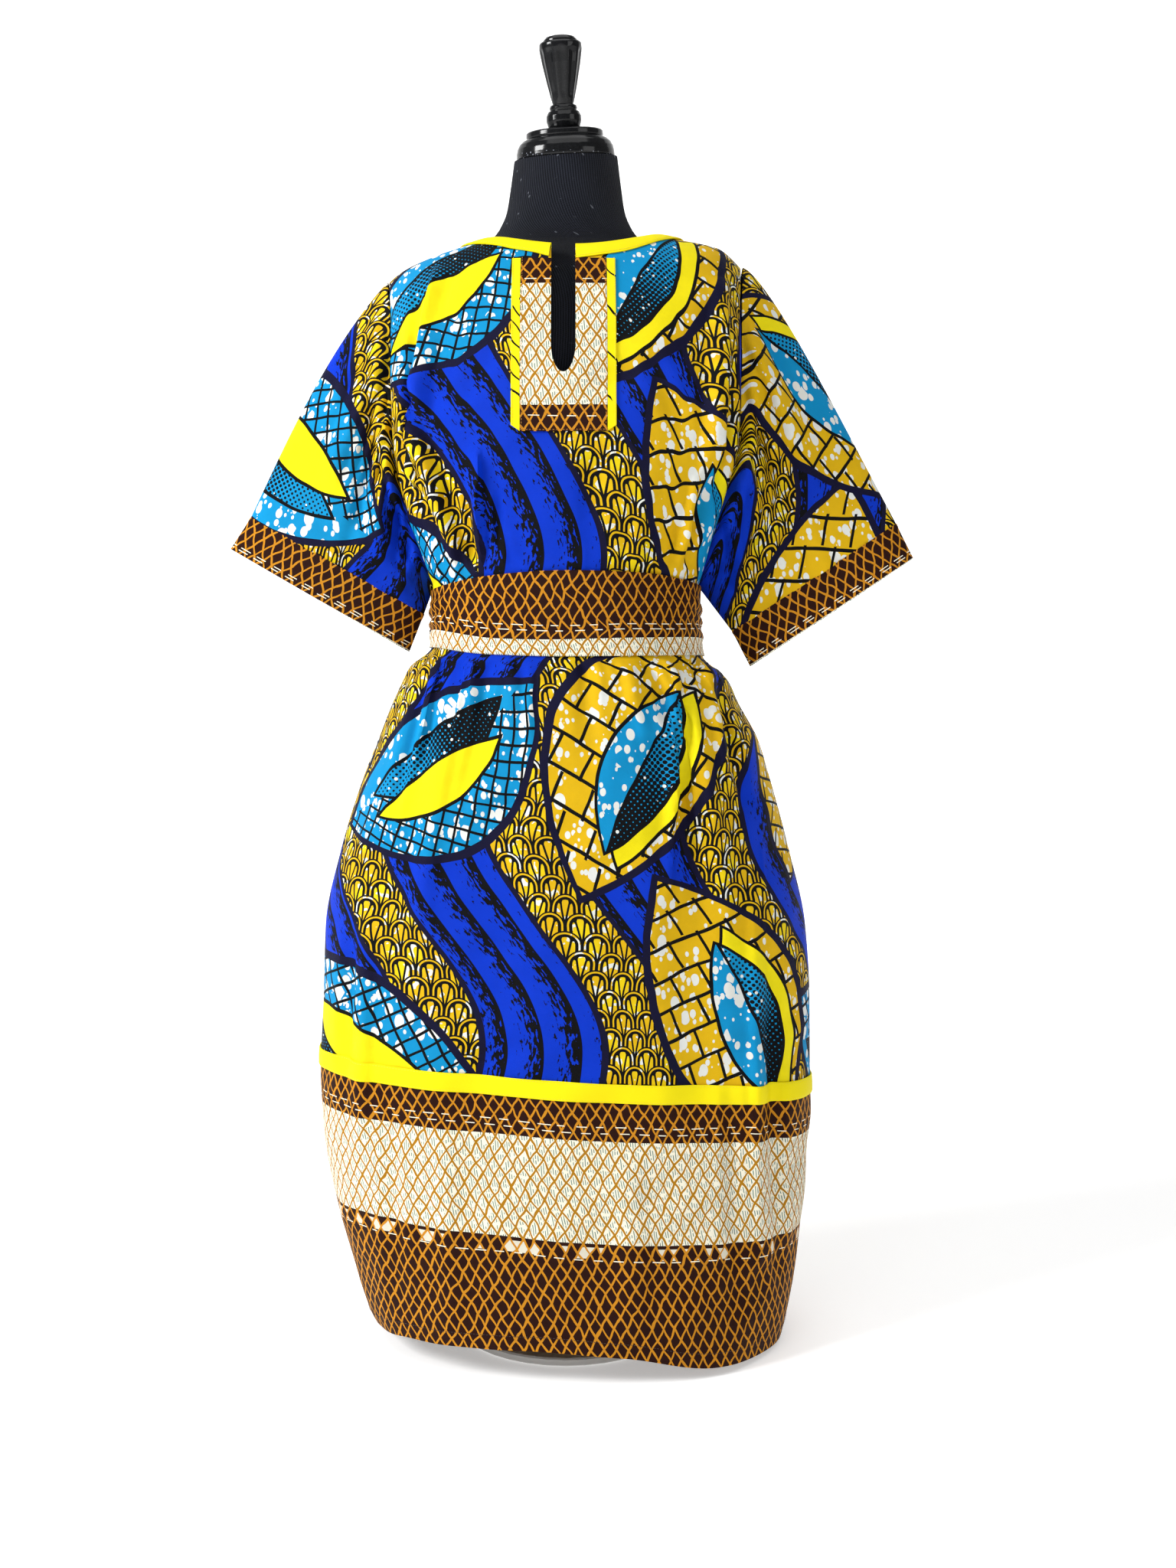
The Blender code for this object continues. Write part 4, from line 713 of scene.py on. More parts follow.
class Graph:
    """Adds nodes to one material."""

    def __init__(self, name):
        self.material = bpy.data.materials.new(name)
        self.material.use_nodes = True
        self.tree = self.material.node_tree
        self.shader = self.tree.nodes["Principled BSDF"]

    def add(self, kind, settings, sockets, out=0):
        """Add a node and give one of its outputs."""
        return Value(self, add_node(self.tree, kind, settings, sockets).outputs[out])

    def math(self, operation, *values):
        """Add a Math node."""
        return self.add("ShaderNodeMath", {"operation": operation}, dict(enumerate(values)))

    def vector(self, operation, *values):
        """Add a Vector Math node."""
        return self.add("ShaderNodeVectorMath", {"operation": operation}, dict(enumerate(values)))

    def blend(self, share, low, high):
        """Mix two colours."""
        low, high = (c if isinstance(c, Value) else (*c, 1.0) for c in (low, high))
        return self.add("ShaderNodeMix", {"data_type": "RGBA"}, {0: share, 6: low, 7: high}, out=2)

    def outlined(self, colour, room, rim, line, filling):
        """Draw a shape over a colour: its outline, and its filling where it has room inside."""
        return self.blend(room > 0.0, self.blend(room > -rim, colour, line), filling)

    def shade(self, colour, light):
        """Make a colour lighter or darker."""
        grey = self.add("ShaderNodeCombineColor", {}, {0: light, 1: light, 2: light})
        settings = {"data_type": "RGBA", "blend_type": "MULTIPLY"}
        return self.add("ShaderNodeMix", settings, {0: 1.0, 6: colour, 7: grey}, out=2)

    def unsteady(self, place, scale, reach):
        """Places that wander a little, as a hand does."""
        sockets = {"Vector": place, "Scale": scale, "Detail": 1.0}
        soft = self.add("ShaderNodeTexNoise", {}, sockets, out=1)
        red = self.add("ShaderNodeSeparateColor", {}, {0: soft})
        return self.vector("ADD", place, self.join(red * reach, red.twin(1) * reach))

    def turned(self, place, angle):
        """Places turned about Z."""
        settings = {"rotation_type": "Z_AXIS"}
        return self.add("ShaderNodeVectorRotate", settings, {"Vector": place, "Angle": angle})

    def choose(self, share, low, high):
        """Mix two vectors."""
        settings = {"data_type": "VECTOR"}
        return self.add("ShaderNodeMix", settings, {0: share, 4: low, 5: high}, out=1)

    def parts(self, vector):
        """The x, y and z of a vector."""
        x = self.add("ShaderNodeSeparateXYZ", {}, {0: vector})
        return x, x.twin(1), x.twin(2)

    def split(self, vector):
        """The x and y of a vector."""
        return self.parts(vector)[:2]

    def lens(self, along, across, length, width):
        """Room left inside a pointed oval."""
        return (along * along).math("MULTIPLY_ADD", -width / length ** 2, width) - abs(across)

    def join(self, x, y, z=0.0):
        """A vector from its parts."""
        return self.add("ShaderNodeCombineXYZ", {}, {0: x, 1: y, 2: z})

    def noise(self, place, scale, detail=2.0, rough=0.5):
        """Soft noise, from 0 to 1."""
        return self.add("ShaderNodeTexNoise", {"noise_dimensions": "3D"},
                        {"Vector": place, "Scale": scale, "Detail": detail, "Roughness": rough})

    def cells(self, place, scale, randomness=1.0):
        """Distance to the nearest of some scattered points, and a random number for it."""
        sockets = {"Vector": place, "Scale": scale, "Randomness": randomness}
        near = self.add("ShaderNodeTexVoronoi", {}, sockets)
        return near, self.add("ShaderNodeSeparateColor", {}, {0: near.twin(1)})

    def cloth_place(self):
        """Flat place on the cloth, in metres."""
        return self.add("ShaderNodeUVMap", {"uv_map": "cloth"}, {})

    def object_place(self):
        """Place in the object's own frame, in metres."""
        return self.add("ShaderNodeTexCoord", {}, {}, out="Object")

    def finish(self, colour, roughness, height, distance, **fixed):
        """Feed the shader: what varies is linked, and what doesn't is set."""
        sockets = {"Height": height, "Distance": distance, "Strength": 1.0}
        relief = self.add("ShaderNodeBump", {}, sockets)
        varying = {"Base Color": colour, "Roughness": roughness, "Normal": relief}
        for name, value in (*varying.items(), *fixed.items()):
            feed(self.tree, self.shader, name.replace("_", " "), value)
        return self.material


def weave(graph, place):
    """Plain weave of crossing threads with slubs, as heights from 0 to 1."""
    x, y = graph.split(place)
    turn = pi / THREAD_PITCH
    over = (x * turn).math("SINE") * (y * turn).math("SINE")
    slub = graph.noise(place, 420.0, 3.0, 0.6)
    return over * 0.35 + slub * 0.65


def crumple(graph, place):
    """Faint waves that starched cotton keeps from the iron, as heights from 0 to 1."""
    return graph.noise(place, 16.0, 3.0, 0.45)


def cotton(graph, place, colour, fading, woven, rough, depth, gloss):
    """Finish a cotton: woven is the weave's share of its relief, the rest are waves."""
    height = weave(graph, place) * woven + crumple(graph, place) * (1.0 - woven)
    return graph.finish(colour, fading * 0.12 + rough, height, depth, Specular_IOR_Level=gloss)


def darker(colour, share):
    """A colour at a share of its light."""
    return tuple(c * share for c in colour)


def leaf_field(graph, place, leaf):
    """Places along and across one leaf, and the room left inside it."""
    reach = (PRINT_WIDTH / 2, PRINT_HEIGHT / 2, 1.0)
    away = graph.vector("SUBTRACT", place, (leaf.x, leaf.y, 0.0))
    near = graph.vector("WRAP", away, reach, tuple(-r for r in reach))
    scaled = graph.vector("MULTIPLY", near, (1.0 / leaf.size, 1.0 / leaf.size, 1.0))
    x, y = graph.split(graph.turned(scaled, -radians(leaf.turn)))
    side = (x * x).math("MULTIPLY_ADD", leaf.bend, y)
    room = graph.lens(x, side, LEAF_HALF_LENGTH[leaf.kind], LEAF_HALF_WIDTH[leaf.kind])
    return x, side, room


def leaves(graph, place, kind):
    """Places along and across the leaves of a kind, the later ones over the earlier ones."""
    merged = (1.0, 1.0, -1.0)
    for leaf in LEAVES:
        if leaf.kind == kind:
            x, side, room = leaf_field(graph, place, leaf)
            merged = graph.choose(room > -LEAF_OUTLINE, merged, graph.join(x, side, room))
    return graph.parts(merged)


def filled(graph, colour, x, side, filling, ink, tone):
    """Draw a leaf's filling over a colour, with an outline."""
    room = graph.lens(x - filling.along, side - filling.across, filling.length, filling.width)
    return graph.outlined(colour, room, FILLING_OUTLINE, ink, tone)


def half_tone(graph, place, rise, colours):
    """Black dots on cyan that grow until cyan dots are left on black, with white stars."""
    grade = rise * 0.36 + 0.24
    dots, _ = graph.cells(graph.turned(place, radians(38.0)), 215.0, 0.0)
    tone = graph.blend(dots < grade, colours.cyan, colours.ink)
    stars, luck = graph.cells(place, 150.0, 0.6)
    return graph.blend((stars < 0.26) * (luck > grade * 0.8 + 0.35), tone, colours.white)


def lines(value, pitch, width):
    """Lines of one width at one pitch, 1 on a line."""
    return abs((value / pitch).fract() - 0.5) > 0.5 - 0.5 * width / pitch


def bubbles(graph, place):
    """White bubbles that the wax leaves, in clusters, larger and smaller."""
    stretched = graph.vector("MULTIPLY", place, (1.0, 0.72, 1.0))
    large, chance = graph.cells(stretched, 88.0)
    small, luck = graph.cells(graph.vector("ADD", stretched, (0.37, 0.11, 0.0)), 148.0)
    crowd = graph.noise(place, 19.0, 1.0)
    bright = (large < chance * 0.56 - 0.03) * (crowd > 0.32)
    fine = (small < luck * 0.52 - 0.03) * (crowd > 0.25)
    return bright.most(fine)


def scale_pattern(graph, x, y, colours):
    """Overlapping scales: a gold and white rim between two dark lines, over three petals on one
    stem. Sizes inside a scale are shares of its width."""
    width, rise = 0.0270, 0.0184
    rim_inside, rim_outside = 0.382, 0.444
    stem_reach, stem_width = 0.34, 0.037
    ratio = rise / width
    row = (y / rise).floor()
    shift = (row * 0.5).fract()
    cell_x = (x / width + shift).fract() - 0.5
    cell_y = (y / rise).fract() * ratio
    own = (cell_x * cell_x + cell_y * cell_y).math("SQRT") < 0.5
    beside = (0.5 - abs(cell_x)) * cell_x.math("SIGN")
    over = own.math("MULTIPLY_ADD", ratio, cell_y - ratio)
    aside = abs(own * (cell_x - beside) + beside)
    crown = over.most(0.0)
    radius = (aside * aside + crown * crown).math("SQRT")
    vein = abs(aside * 0.98 - (over + ratio * 0.95) * 0.19)
    lobe = vein.smooth(0.0, 0.09) * 0.095 + 0.182
    glow = graph.noise(graph.join(x, y), 34.0, 1.0).smooth(0.40, 0.70)
    spark = graph.noise(graph.join(x, y), 130.0, 1.0)
    petal = graph.blend(glow * 0.6, colours.gold, colours.yellow)
    petal = graph.blend(spark > 0.60, petal, colours.white)
    rim = graph.blend((spark > 0.52) * (glow > 0.55), colours.gold, colours.white)
    colour = graph.blend(radius > stem_reach, petal, rim)
    gap = (radius > lobe) * (radius < rim_inside)
    stem = (vein < stem_width) * (radius < stem_reach)
    black = (radius > rim_outside).most(gap).most(stem)
    return graph.blend(black, colour, colours.ink)


@cache
def wax_print(colours):
    """Printed cotton with striped ground, scale bands and large leaves."""
    graph = Graph("wax_print_cotton")
    place = graph.cloth_place()
    wobble = graph.noise(place, 9.0, 1.0)
    drawn = graph.unsteady(place, 26.0, 0.0050)
    x, y = graph.split(place)
    sway = (y * (2.0 * pi / PRINT_HEIGHT) + 0.8).math("SINE")
    flow = sway.math("MULTIPLY_ADD", FLOW_SWAY, x) + wobble * 0.010

    stripe = (flow / STRIPE_PITCH).fract()
    streaks = graph.noise(graph.join(flow * 340.0, y * 125.0), 1.0, 2.0, 0.55)
    dense = stripe.smooth(STRIPE_PLAIN, 1.0)
    speckle = (streaks > 0.665 - dense * 0.28) * (stripe > STRIPE_PLAIN)
    edge = stripe > 0.925
    colour = graph.blend(speckle.most(edge), colours.royal, colours.ink)

    bands = 0.0
    borders = 0.0
    for centre, half in BAND_PLACES:
        away = abs(((flow - centre) / PRINT_WIDTH + 0.5).fract() - 0.5)
        bands = (away < half / PRINT_WIDTH) + bands
        borders = (away < (half + BAND_BORDER) / PRINT_WIDTH) + borders
    colour = graph.blend(borders, colour, colours.navy)
    scales = scale_pattern(graph, wobble.math("MULTIPLY_ADD", 0.03, x), y, colours)
    colour = graph.blend(bands, colour, scales)

    wax = bubbles(graph, place)
    pale = graph.blend(wax, colours.cyan, colours.white)

    x, side, room = leaves(graph, drawn, "lattice")
    grid = lines(x + side, *LATTICE_LINES).most(lines(x - side, *LATTICE_LINES))
    body = graph.blend(grid * (side < LATTICE_END), pale, colours.ink)
    colour = graph.outlined(colour, room, LEAF_OUTLINE, colours.navy, body)
    tone = half_tone(graph, place, x.smooth(-0.07, 0.06), colours)
    colour = filled(graph, colour, x, side, LID, colours.ink, tone)
    colour = filled(graph, colour, x, side, DROP, colours.ink, colours.yellow)

    x, side, room = leaves(graph, drawn, "gold")
    shifted = (x / STAGGER_EVERY).floor().math("MULTIPLY_ADD", STAGGER, side)
    bricks = lines(x, *COURSE_LINES).most(lines(shifted, *JOINT_LINES))
    body = graph.blend(bricks, graph.blend(wax, colours.gold, colours.white), colours.ink)
    colour = graph.outlined(colour, room, LEAF_OUTLINE, colours.navy, body)
    colour = filled(graph, colour, x, side, CRESCENT, colours.ink, colours.yellow)
    tone = half_tone(graph, place, x.smooth(0.08, -0.08), colours)
    vein = side - EYE_VEIN
    inside = graph.blend(vein > 0.0, tone, pale)
    inside = graph.blend(abs(vein) < EYE_VEIN_HALF_WIDTH, inside, colours.ink)
    colour = filled(graph, colour, x, side, EYE, colours.ink, inside)

    fading = graph.noise(place, 60.0, 3.0, 0.7)
    colour = graph.shade(colour, fading * 0.16 + 0.90)
    return cotton(graph, place, colour, fading, 0.12, 0.50, 0.0030, 0.10)


def net_print(name, colours, cream, dashes, cells_at=0.0, pale_edge=0.0):
    """Printed cotton with a hand-drawn net. By the cloth's second coordinate, cream lists the
    lower and upper edge of each pale zone, dashes the broken lines, cells_at a row of filled
    cells, and pale_edge how far up from the foot a pale strip reaches."""
    graph = Graph(name)
    place = graph.cloth_place()
    x, y = graph.split(place)
    drawn = graph.noise(place, 55.0, 1.0) - 0.5
    drawn_too = graph.noise(graph.vector("ADD", place, (0.31, 0.77, 0.0)), 48.0, 1.0) - 0.5
    column = x / NET_WIDTH + drawn * 0.55
    line = y / NET_HEIGHT + drawn_too * 0.45
    rising = abs((column + line).fract() - 0.5)
    falling = abs((column - line).fract() - 0.5)
    thick = graph.noise(place, 130.0, 1.0) * 0.06 + 0.066
    net = (rising > 0.5 - thick).most(falling > 0.5 - thick)

    zone = 0.0
    for low, high in cream:
        zone = (y > low) * (y < high) + zone
    ground = colours.brown
    if cream:
        stroke = lines(x + y * 0.12 + drawn * 0.002, 0.0023, 0.0009)
        inside = (rising < 0.33) * (falling < 0.33)
        marks = stroke * inside * (graph.noise(place, 240.0, 0.0) > 0.42)
        pale = graph.blend(marks, colours.cream, colours.teal)
        ground = graph.blend(zone, ground, pale)
    dark_line = tuple(c * k for c, k in zip(colours.orange, (0.72, 0.78, 0.30)))
    line_colour = graph.blend(zone, colours.orange, dark_line) if cream else colours.orange
    colour = graph.blend(net, ground, line_colour)
    if cells_at:
        corner = graph.join((column + line).floor() * 3.7, (column - line).floor() * 5.3)
        chosen = graph.noise(corner, 1.0, 0.0) > 0.57
        white = chosen * (abs(y - cells_at) < 0.0052) * (1.0 - net) * 0.8
        colour = graph.blend(white, colour, colours.cream)
    wander = (graph.noise(place, 12.0, 0.0) - 0.5) * 0.004
    broken = graph.noise(graph.join(x * 60.0, 0.5), 1.0, 1.0)
    for level in dashes:
        dash = (abs(y + wander - level) < 0.00045) * ((x / 0.019 + level * 37.0).fract() < broken)
        colour = graph.blend(dash, colour, colours.cream)
    if pale_edge:
        fleck = graph.noise(place, 700.0, 1.0) > 0.55
        edge = graph.blend(fleck, colours.cream, colours.teal)
        colour = graph.blend(y < pale_edge, colour, edge)
    fading = graph.noise(place, 90.0, 3.0, 0.7)
    colour = graph.shade(colour, fading * 0.16 + 0.90)
    return cotton(graph, place, colour, fading, 0.15, 0.52, 0.0026, 0.09)


@cache
def yellow_cotton(name, colours, strokes_apart=0.0):
    """Plain yellow cotton, or with a few strokes of the print that it was cut from."""
    graph = Graph(name)
    place = graph.cloth_place()
    fading = graph.noise(place, 45.0, 4.0, 0.65)
    colour = graph.blend(fading * 0.30, colours.yellow, darker(colours.yellow, 0.82))
    if strokes_apart:
        x, y = graph.split(place)
        bent = y + x * 1.1 + graph.noise(place, 30.0, 1.0) * 0.02
        strokes = lines(bent, strokes_apart, 0.0026) * (graph.noise(place, 26.0, 0.0) > 0.42)
        colour = graph.blend(strokes, colour, colours.ink)
    return cotton(graph, place, colour, fading, 0.15, 0.50, 0.0014, 0.09)


def black_knit(colours):
    """Fine ribbed knit with a little lint, and painted shade in the valleys between its ribs and purls.
    """
    graph = Graph("black_knit")
    place = graph.cloth_place()
    x, y = graph.split(place)
    wale = x / 0.0026 + graph.noise(place, 40.0, 1.0) * 0.5
    rib = abs(wale.fract() - 0.5) * 2.0
    purl = abs((y / 0.0022 + wale.floor() * 0.5).fract() - 0.5) * 2.0
    fuzz = graph.noise(place, 900.0, 2.0, 0.7)
    lint, chance = graph.cells(place, 110.0)
    fluff = (lint < 0.13) * (chance > 0.78)
    thread = graph.noise(graph.vector("MULTIPLY", place, (1.0, 5.0, 1.0)), 120.0, 1.0) > 0.76
    # Random tone, plus painted shade: the knit is painted darker where its ribs, purls and fuzz are low
    # in relief, and lighter on their crests.
    shade = graph.noise(place, 18.0, 3.0) * 0.5 + rib * 0.8 + purl * 0.2 + fuzz * 0.5 - 0.55
    colour = graph.blend(shade, darker(colours.knit, 0.10), colours.knit)
    colour = graph.blend(fluff.most(thread * 0.25) * 0.6, colour, colours.lint)
    height = rib * 0.6 + purl * 0.2 + fuzz * 0.2
    return graph.finish(colour, fuzz * 0.1 + 0.85, height, 0.0012, Sheen_Weight=0.04,
                        Sheen_Roughness=0.5, Specular_IOR_Level=0.08)


def black_lacquer(colours):
    """Glossy lacquer with dust, and worn chips at the cap's lower rim."""
    graph = Graph("black_lacquer")
    place = graph.object_place()
    dust = graph.noise(place, 240.0, 4.0, 0.7)
    _, front, tall = graph.parts(place)
    chip, chance = graph.cells(place, 420.0)
    low = tall - front * tan(HEAD_LEAN) < NECK_TOP_HEIGHT + CHIP_HEIGHT
    rim = low * (chip < 0.34) * (chance > 0.70)
    colour = graph.blend(rim * 0.85, colours.lacquer, colours.lint)
    colour = graph.blend(dust * 0.05, colour, colours.lint)
    rough = dust * 0.10 + 0.07 + rim * 0.3
    return graph.finish(colour, rough, dust, 0.00002, Specular_IOR_Level=0.30)


def pale_metal(colours):
    """Satin powder coat with its fine orange-peel."""
    graph = Graph("pale_coated_metal")
    place = graph.object_place()
    peel = graph.noise(place, 900.0, 2.0)
    cloud = graph.noise(place, 30.0, 3.0)
    colour = graph.blend(cloud * 0.2, colours.metal, darker(colours.metal, 0.8))
    return graph.finish(colour, peel * 0.1 + 0.36, peel, 0.0003, Specular_IOR_Level=0.5)


def thread_material(name, colour):
    """Twisted sewing thread."""
    graph = Graph(name)
    twist = graph.noise(graph.object_place(), 2600.0, 1.0)
    shade = graph.blend(twist * 0.5, colour, darker(colour, 0.6))
    return graph.finish(shade, twist * 0.1 + 0.55, twist, 0.0001, Sheen_Weight=0.2)


def curve(rows, key, value):
    """A smooth function through two columns of a table, which never overshoots."""
    xs = np.array([getattr(row, key) for row in rows])
    ys = np.array([getattr(row, value) for row in rows])
    steps = np.diff(ys) / np.diff(xs)
    before, after = steps[:-1], steps[1:]
    same = before * after > 0.0
    inner = np.where(same, 2.0 * before * after / np.where(same, before + after, 1.0), 0.0)
    slopes = np.concatenate([steps[:1], inner, steps[-1:]])

    def at(x):
        x = np.clip(x, xs[0], xs[-1])
        i = np.clip(np.searchsorted(xs, x, "right") - 1, 0, len(xs) - 2)
        span = xs[i + 1] - xs[i]
        t = (x - xs[i]) / span
        start = (1 + 2 * t) * (1 - t) ** 2 * ys[i] + t * (1 - t) ** 2 * span * slopes[i]
        return start + t * t * (3 - 2 * t) * ys[i + 1] + t * t * (t - 1) * span * slopes[i + 1]

    return at


def ramp(x, low, high):
    """Rise smoothly from 0 at low to 1 at high."""
    t = np.clip((x - low) / (high - low), 0.0, 1.0)
    return t * t * (3.0 - 2.0 * t)


def bump(x):
    """A soft hump, 1 at zero and nothing beyond 1."""
    return np.where(np.abs(x) < 1.0, (1.0 - x * x) ** 2, 0.0)


body_left, body_right = (curve(BODY_LEVELS, "z", side) for side in SIDES)
body_depth = {face: curve(BODY_LEVELS, "z", name) for name, face in FACES.items()}
bodice_left, bodice_right = (curve(BODICE_LEVELS, "z", side) for side in SIDES)
bodice_depth = {face: curve(BODICE_LEVELS, "z", name) for name, face in FACES.items()}
shoulder_height = curve(SHOULDER_LINE, "x", "z")
hem_height = {face: curve(HEM[face], "x", "z") for face in HEM}
sash_top = {face: curve(SASH_EDGE[face], "x", "top") for face in SASH_EDGE}
sash_foot = {face: curve(SASH_EDGE[face], "x", "foot") for face in SASH_EDGE}


def rounding(across):
    """Share of the depth that a section keeps at a place across it, 0 at its sides."""
    return np.maximum(1.0 - np.abs(across) ** SECTION_POWER, 0.0) ** (1.0 / SECTION_POWER)


def fold_height(face, across, z):
    """Sum of the main folds' heights."""
    total = np.zeros(np.broadcast(across, z).shape)
    for fold in FOLDS[face]:
        fall = (fold.top - z) / (fold.top - fold.foot)
        place = fold.across + fold.drift * fall
        above, below = fold.top - z, z - fold.foot
        if fold.foot > UNDERARM_HEIGHT:
            above, below = below, above
        fade = ramp(above, 0.0, FOLD_START) * ramp(below, 0.0, FOLD_FADE)
        total = total + fold.height * fade * bump((across - place) / fold.width)
    return total


def side_to_side(left, right, across):
    """Places in the front view between two half widths, across running from -1 to 1."""
    return 0.5 * (right - left) + 0.5 * (right + left) * across


def skirt_points(face, across, z):
    """Points of the dress below the underarm."""
    across, z = np.broadcast_arrays(across, z)
    x = side_to_side(body_left(z), body_right(z), across)
    depth = body_depth[face](z) * rounding(across)
    depth = depth + fold_height(face, across, z) * rounding(across) ** 0.5
    return np.stack([x, face * np.maximum(depth, SEAM_GAP), z], axis=-1)


def armhole_depth(v):
    """Half the depth of the armhole at a share v of the way up it."""
    return ARMHOLE_DEPTH * np.maximum(np.sin(pi * np.clip(v, 0.0, 1.0)), 0.0) ** ARMHOLE_POWER


def bodice_points(face, across, v):
    """Points of the dress between the underarm (v 0) and the shoulder (v 1)."""
    across, v = np.broadcast_arrays(across, v)
    x = side_to_side(bodice_left(v), bodice_right(v), across)
    end_x = side_to_side(bodice_left(1.0), bodice_right(1.0), across)
    z = UNDERARM_HEIGHT + (shoulder_height(end_x) - UNDERARM_HEIGHT) * v
    arch = np.maximum(1.0 - v ** SHOULDER_POWER, 0.0) ** (1.0 / SHOULDER_POWER)
    middle = bodice_depth[face](v) * arch
    edge = np.minimum(armhole_depth(v), middle)
    depth = edge + (middle - edge) * rounding(across)
    depth = depth + fold_height(face, across, z) * rounding(across) ** 0.5 * arch
    return np.stack([x, face * np.maximum(depth, SHOULDER_GAP), z], axis=-1)


def neck_limits(face, across):
    """Share v at which each column meets the neckline, or 1 where it reaches the shoulder."""
    low, high = np.full(len(across), 0.3), np.ones(len(across))
    for _ in range(40):
        v = 0.5 * (low + high)
        point = bodice_points(face, across, v)
        out = ((point[:, 0] - NECK_CENTRE_X) / NECK_HALF_WIDTH) ** 2
        out = out + (point[:, 1] / NECK_REACH[face]) ** 2 > 1.0
        low, high = np.where(out, v, low), np.where(out, high, v)
    return low


def paths(grid):
    """Distance along each row from its first point."""
    steps = np.linalg.norm(np.diff(grid, axis=1), axis=-1)
    return np.concatenate([np.zeros((len(grid), 1)), np.cumsum(steps, axis=1)], axis=1)


def arcs(grid):
    """Distance along each row from the middle column, as flat cloth lies."""
    path = paths(grid)
    return path - path[:, grid.shape[1] // 2][:, None]


def rises(grid, start=0.0):
    """Distance along each column from the first row, as flat cloth lies."""
    return start + paths(grid.swapaxes(0, 1)).T


def unit(vectors):
    """Vectors of the same directions and length 1."""
    return vectors / np.maximum(np.linalg.norm(vectors, axis=-1, keepdims=True), 1e-12)


def spread_across(count):
    """Places across a panel, evenly spaced along the cloth at the hips."""
    turn = np.linspace(-pi / 2, pi / 2, 2001)
    path = paths(skirt_points(BACK, np.sin(turn), HIP_LEVEL)[None])[0]
    return np.sin(np.interp(np.linspace(0.0, path[-1], count + 1), path, turn))


def skirt_heights(face, across, height):
    """Heights of one row below the underarm, in line with the hip band or the sash near it."""
    share = max((height - BAND_HEIGHT) / (UNDERARM_HEIGHT - BAND_HEIGHT), 0.0)
    x = skirt_points(face, across, BAND_HEIGHT)[:, 0]
    near_sash = ramp(height, SASH_ROWS_FROM, SASH_FOOT_ROW)
    near_sash = near_sash * ramp(height, UNDERARM_HEIGHT, SASH_ROWS_TO)
    rise = near_sash * (sash_foot[face](across) - SASH_FOOT_ROW)
    return height + BAND_SLOPE * (1.0 - share) ** 2 * x + rise


def normals(grid):
    """Unit normals of a grid of points, towards the outside of the front."""
    return unit(np.cross(np.gradient(grid, axis=1), np.gradient(grid, axis=0)))


def crease_field(creases, x, z):
    """Heights of the listed creases at places of the front or back view."""
    total = np.zeros(x.shape)
    for c in creases:
        run = np.hypot(c.x1 - c.x0, c.z1 - c.z0)
        dx, dz = (c.x1 - c.x0) / run, (c.z1 - c.z0) / run
        along = ((x - c.x0) * dx + (z - c.z0) * dz) / run
        away = (x - c.x0) * -dz + (z - c.z0) * dx
        width = np.where(away > 0.0, c.width * (1.0 - c.lean), c.width * (1.0 + c.lean))
        taper = np.sin(pi * np.clip(along, 0.0, 1.0)) ** 0.6
        total = total + c.height * taper * bump(away / width)
    return CREASE_DEPTH * total


def gather_field(gathers, arc, drop):
    """Heights of small gathers that start at drop 0 and die away along the cloth."""
    rng = np.random.default_rng(gathers.seed)
    total = np.zeros(arc.shape)
    reach = 0.5 * np.ptp(arc)
    for k in range(gathers.count):
        centre = -reach + 2.0 * reach * (k + rng.uniform(0.1, 0.9)) / gathers.count
        width = rng.uniform(gathers.narrow, gathers.wide)
        height = gathers.height * rng.uniform(0.35, 1.0) * (1.0 if k % 2 else -0.8)
        length = gathers.reach * rng.uniform(0.25, 1.0)
        drift = centre * rng.uniform(0.0, 0.5)
        share = np.clip(drop / length, 0.0, 1.0)
        fade = ramp(drop, 0.0, 0.006) * (1.0 - share) ** 1.5
        total = total + height * fade * bump((arc - centre - drift * drop) / (width * (1 + share)))
    return total


def ripple_field(seed, x, z, height):
    """Small soft waves in all directions."""
    rng = np.random.default_rng(seed)
    total = np.zeros(x.shape)
    for _ in range(RIPPLE_WAVES):
        length = rng.uniform(0.030, 0.110)
        turn = rng.uniform(0.0, pi)
        phase = rng.uniform(0.0, 2.0 * pi)
        warp = 0.35 * np.sin(x * 31.0 + phase) + 0.35 * np.sin(z * 23.0 + 2.0 * phase)
        total = total + np.sin(2.0 * pi * (x * cos(turn) + z * sin(turn)) / length + phase + warp)
    return height * total / 3.5


def panel_relief(face, across, grid, ripple):
    """How far each point of a panel moves out from the plain form."""
    x, z = grid[..., 0], grid[..., 2]
    arc = arcs(grid)
    below = sash_foot[face](across) - z
    above = z - sash_top[face](across)
    total = crease_field(CREASES[face], x, z)
    total = total + gather_field(GATHERS_BELOW[face], arc, below)
    total = total + gather_field(GATHERS_ABOVE[face], arc, above)
    total = total + ripple_field(PANEL_RIPPLE_SEED + face, arc, z, ripple)
    clear_of_sash = ramp(np.maximum(above, below), 0.0, 0.010)
    clear_of_sides = ramp(1.0 - np.abs(across), 0.0, 0.05)
    clear_of_shoulder = 1.0 - ramp(z, *SHOULDER_FADE)
    return total * clear_of_sash * clear_of_sides * clear_of_shoulder


def panel_grid(face):
    """Points of the plain panel from its seam under the hip band up to shoulder and neck."""
    across = spread_across(PANEL_COLUMNS[face])
    low = BAND_HEIGHT - PANEL_END_BELOW_BAND
    heights = np.linspace(low, UNDERARM_HEIGHT, SKIRT_ROWS[face])
    rows = [skirt_points(face, across, skirt_heights(face, across, h)) for h in heights]
    limits = neck_limits(face, across)
    for share in np.linspace(0.0, 1.0, BODICE_ROWS[face] + 1)[1:]:
        rows.append(bodice_points(face, across, limits * (1.0 - (1.0 - share) ** NECKLINE_ROW_POWER)))
    return across, np.array(rows)


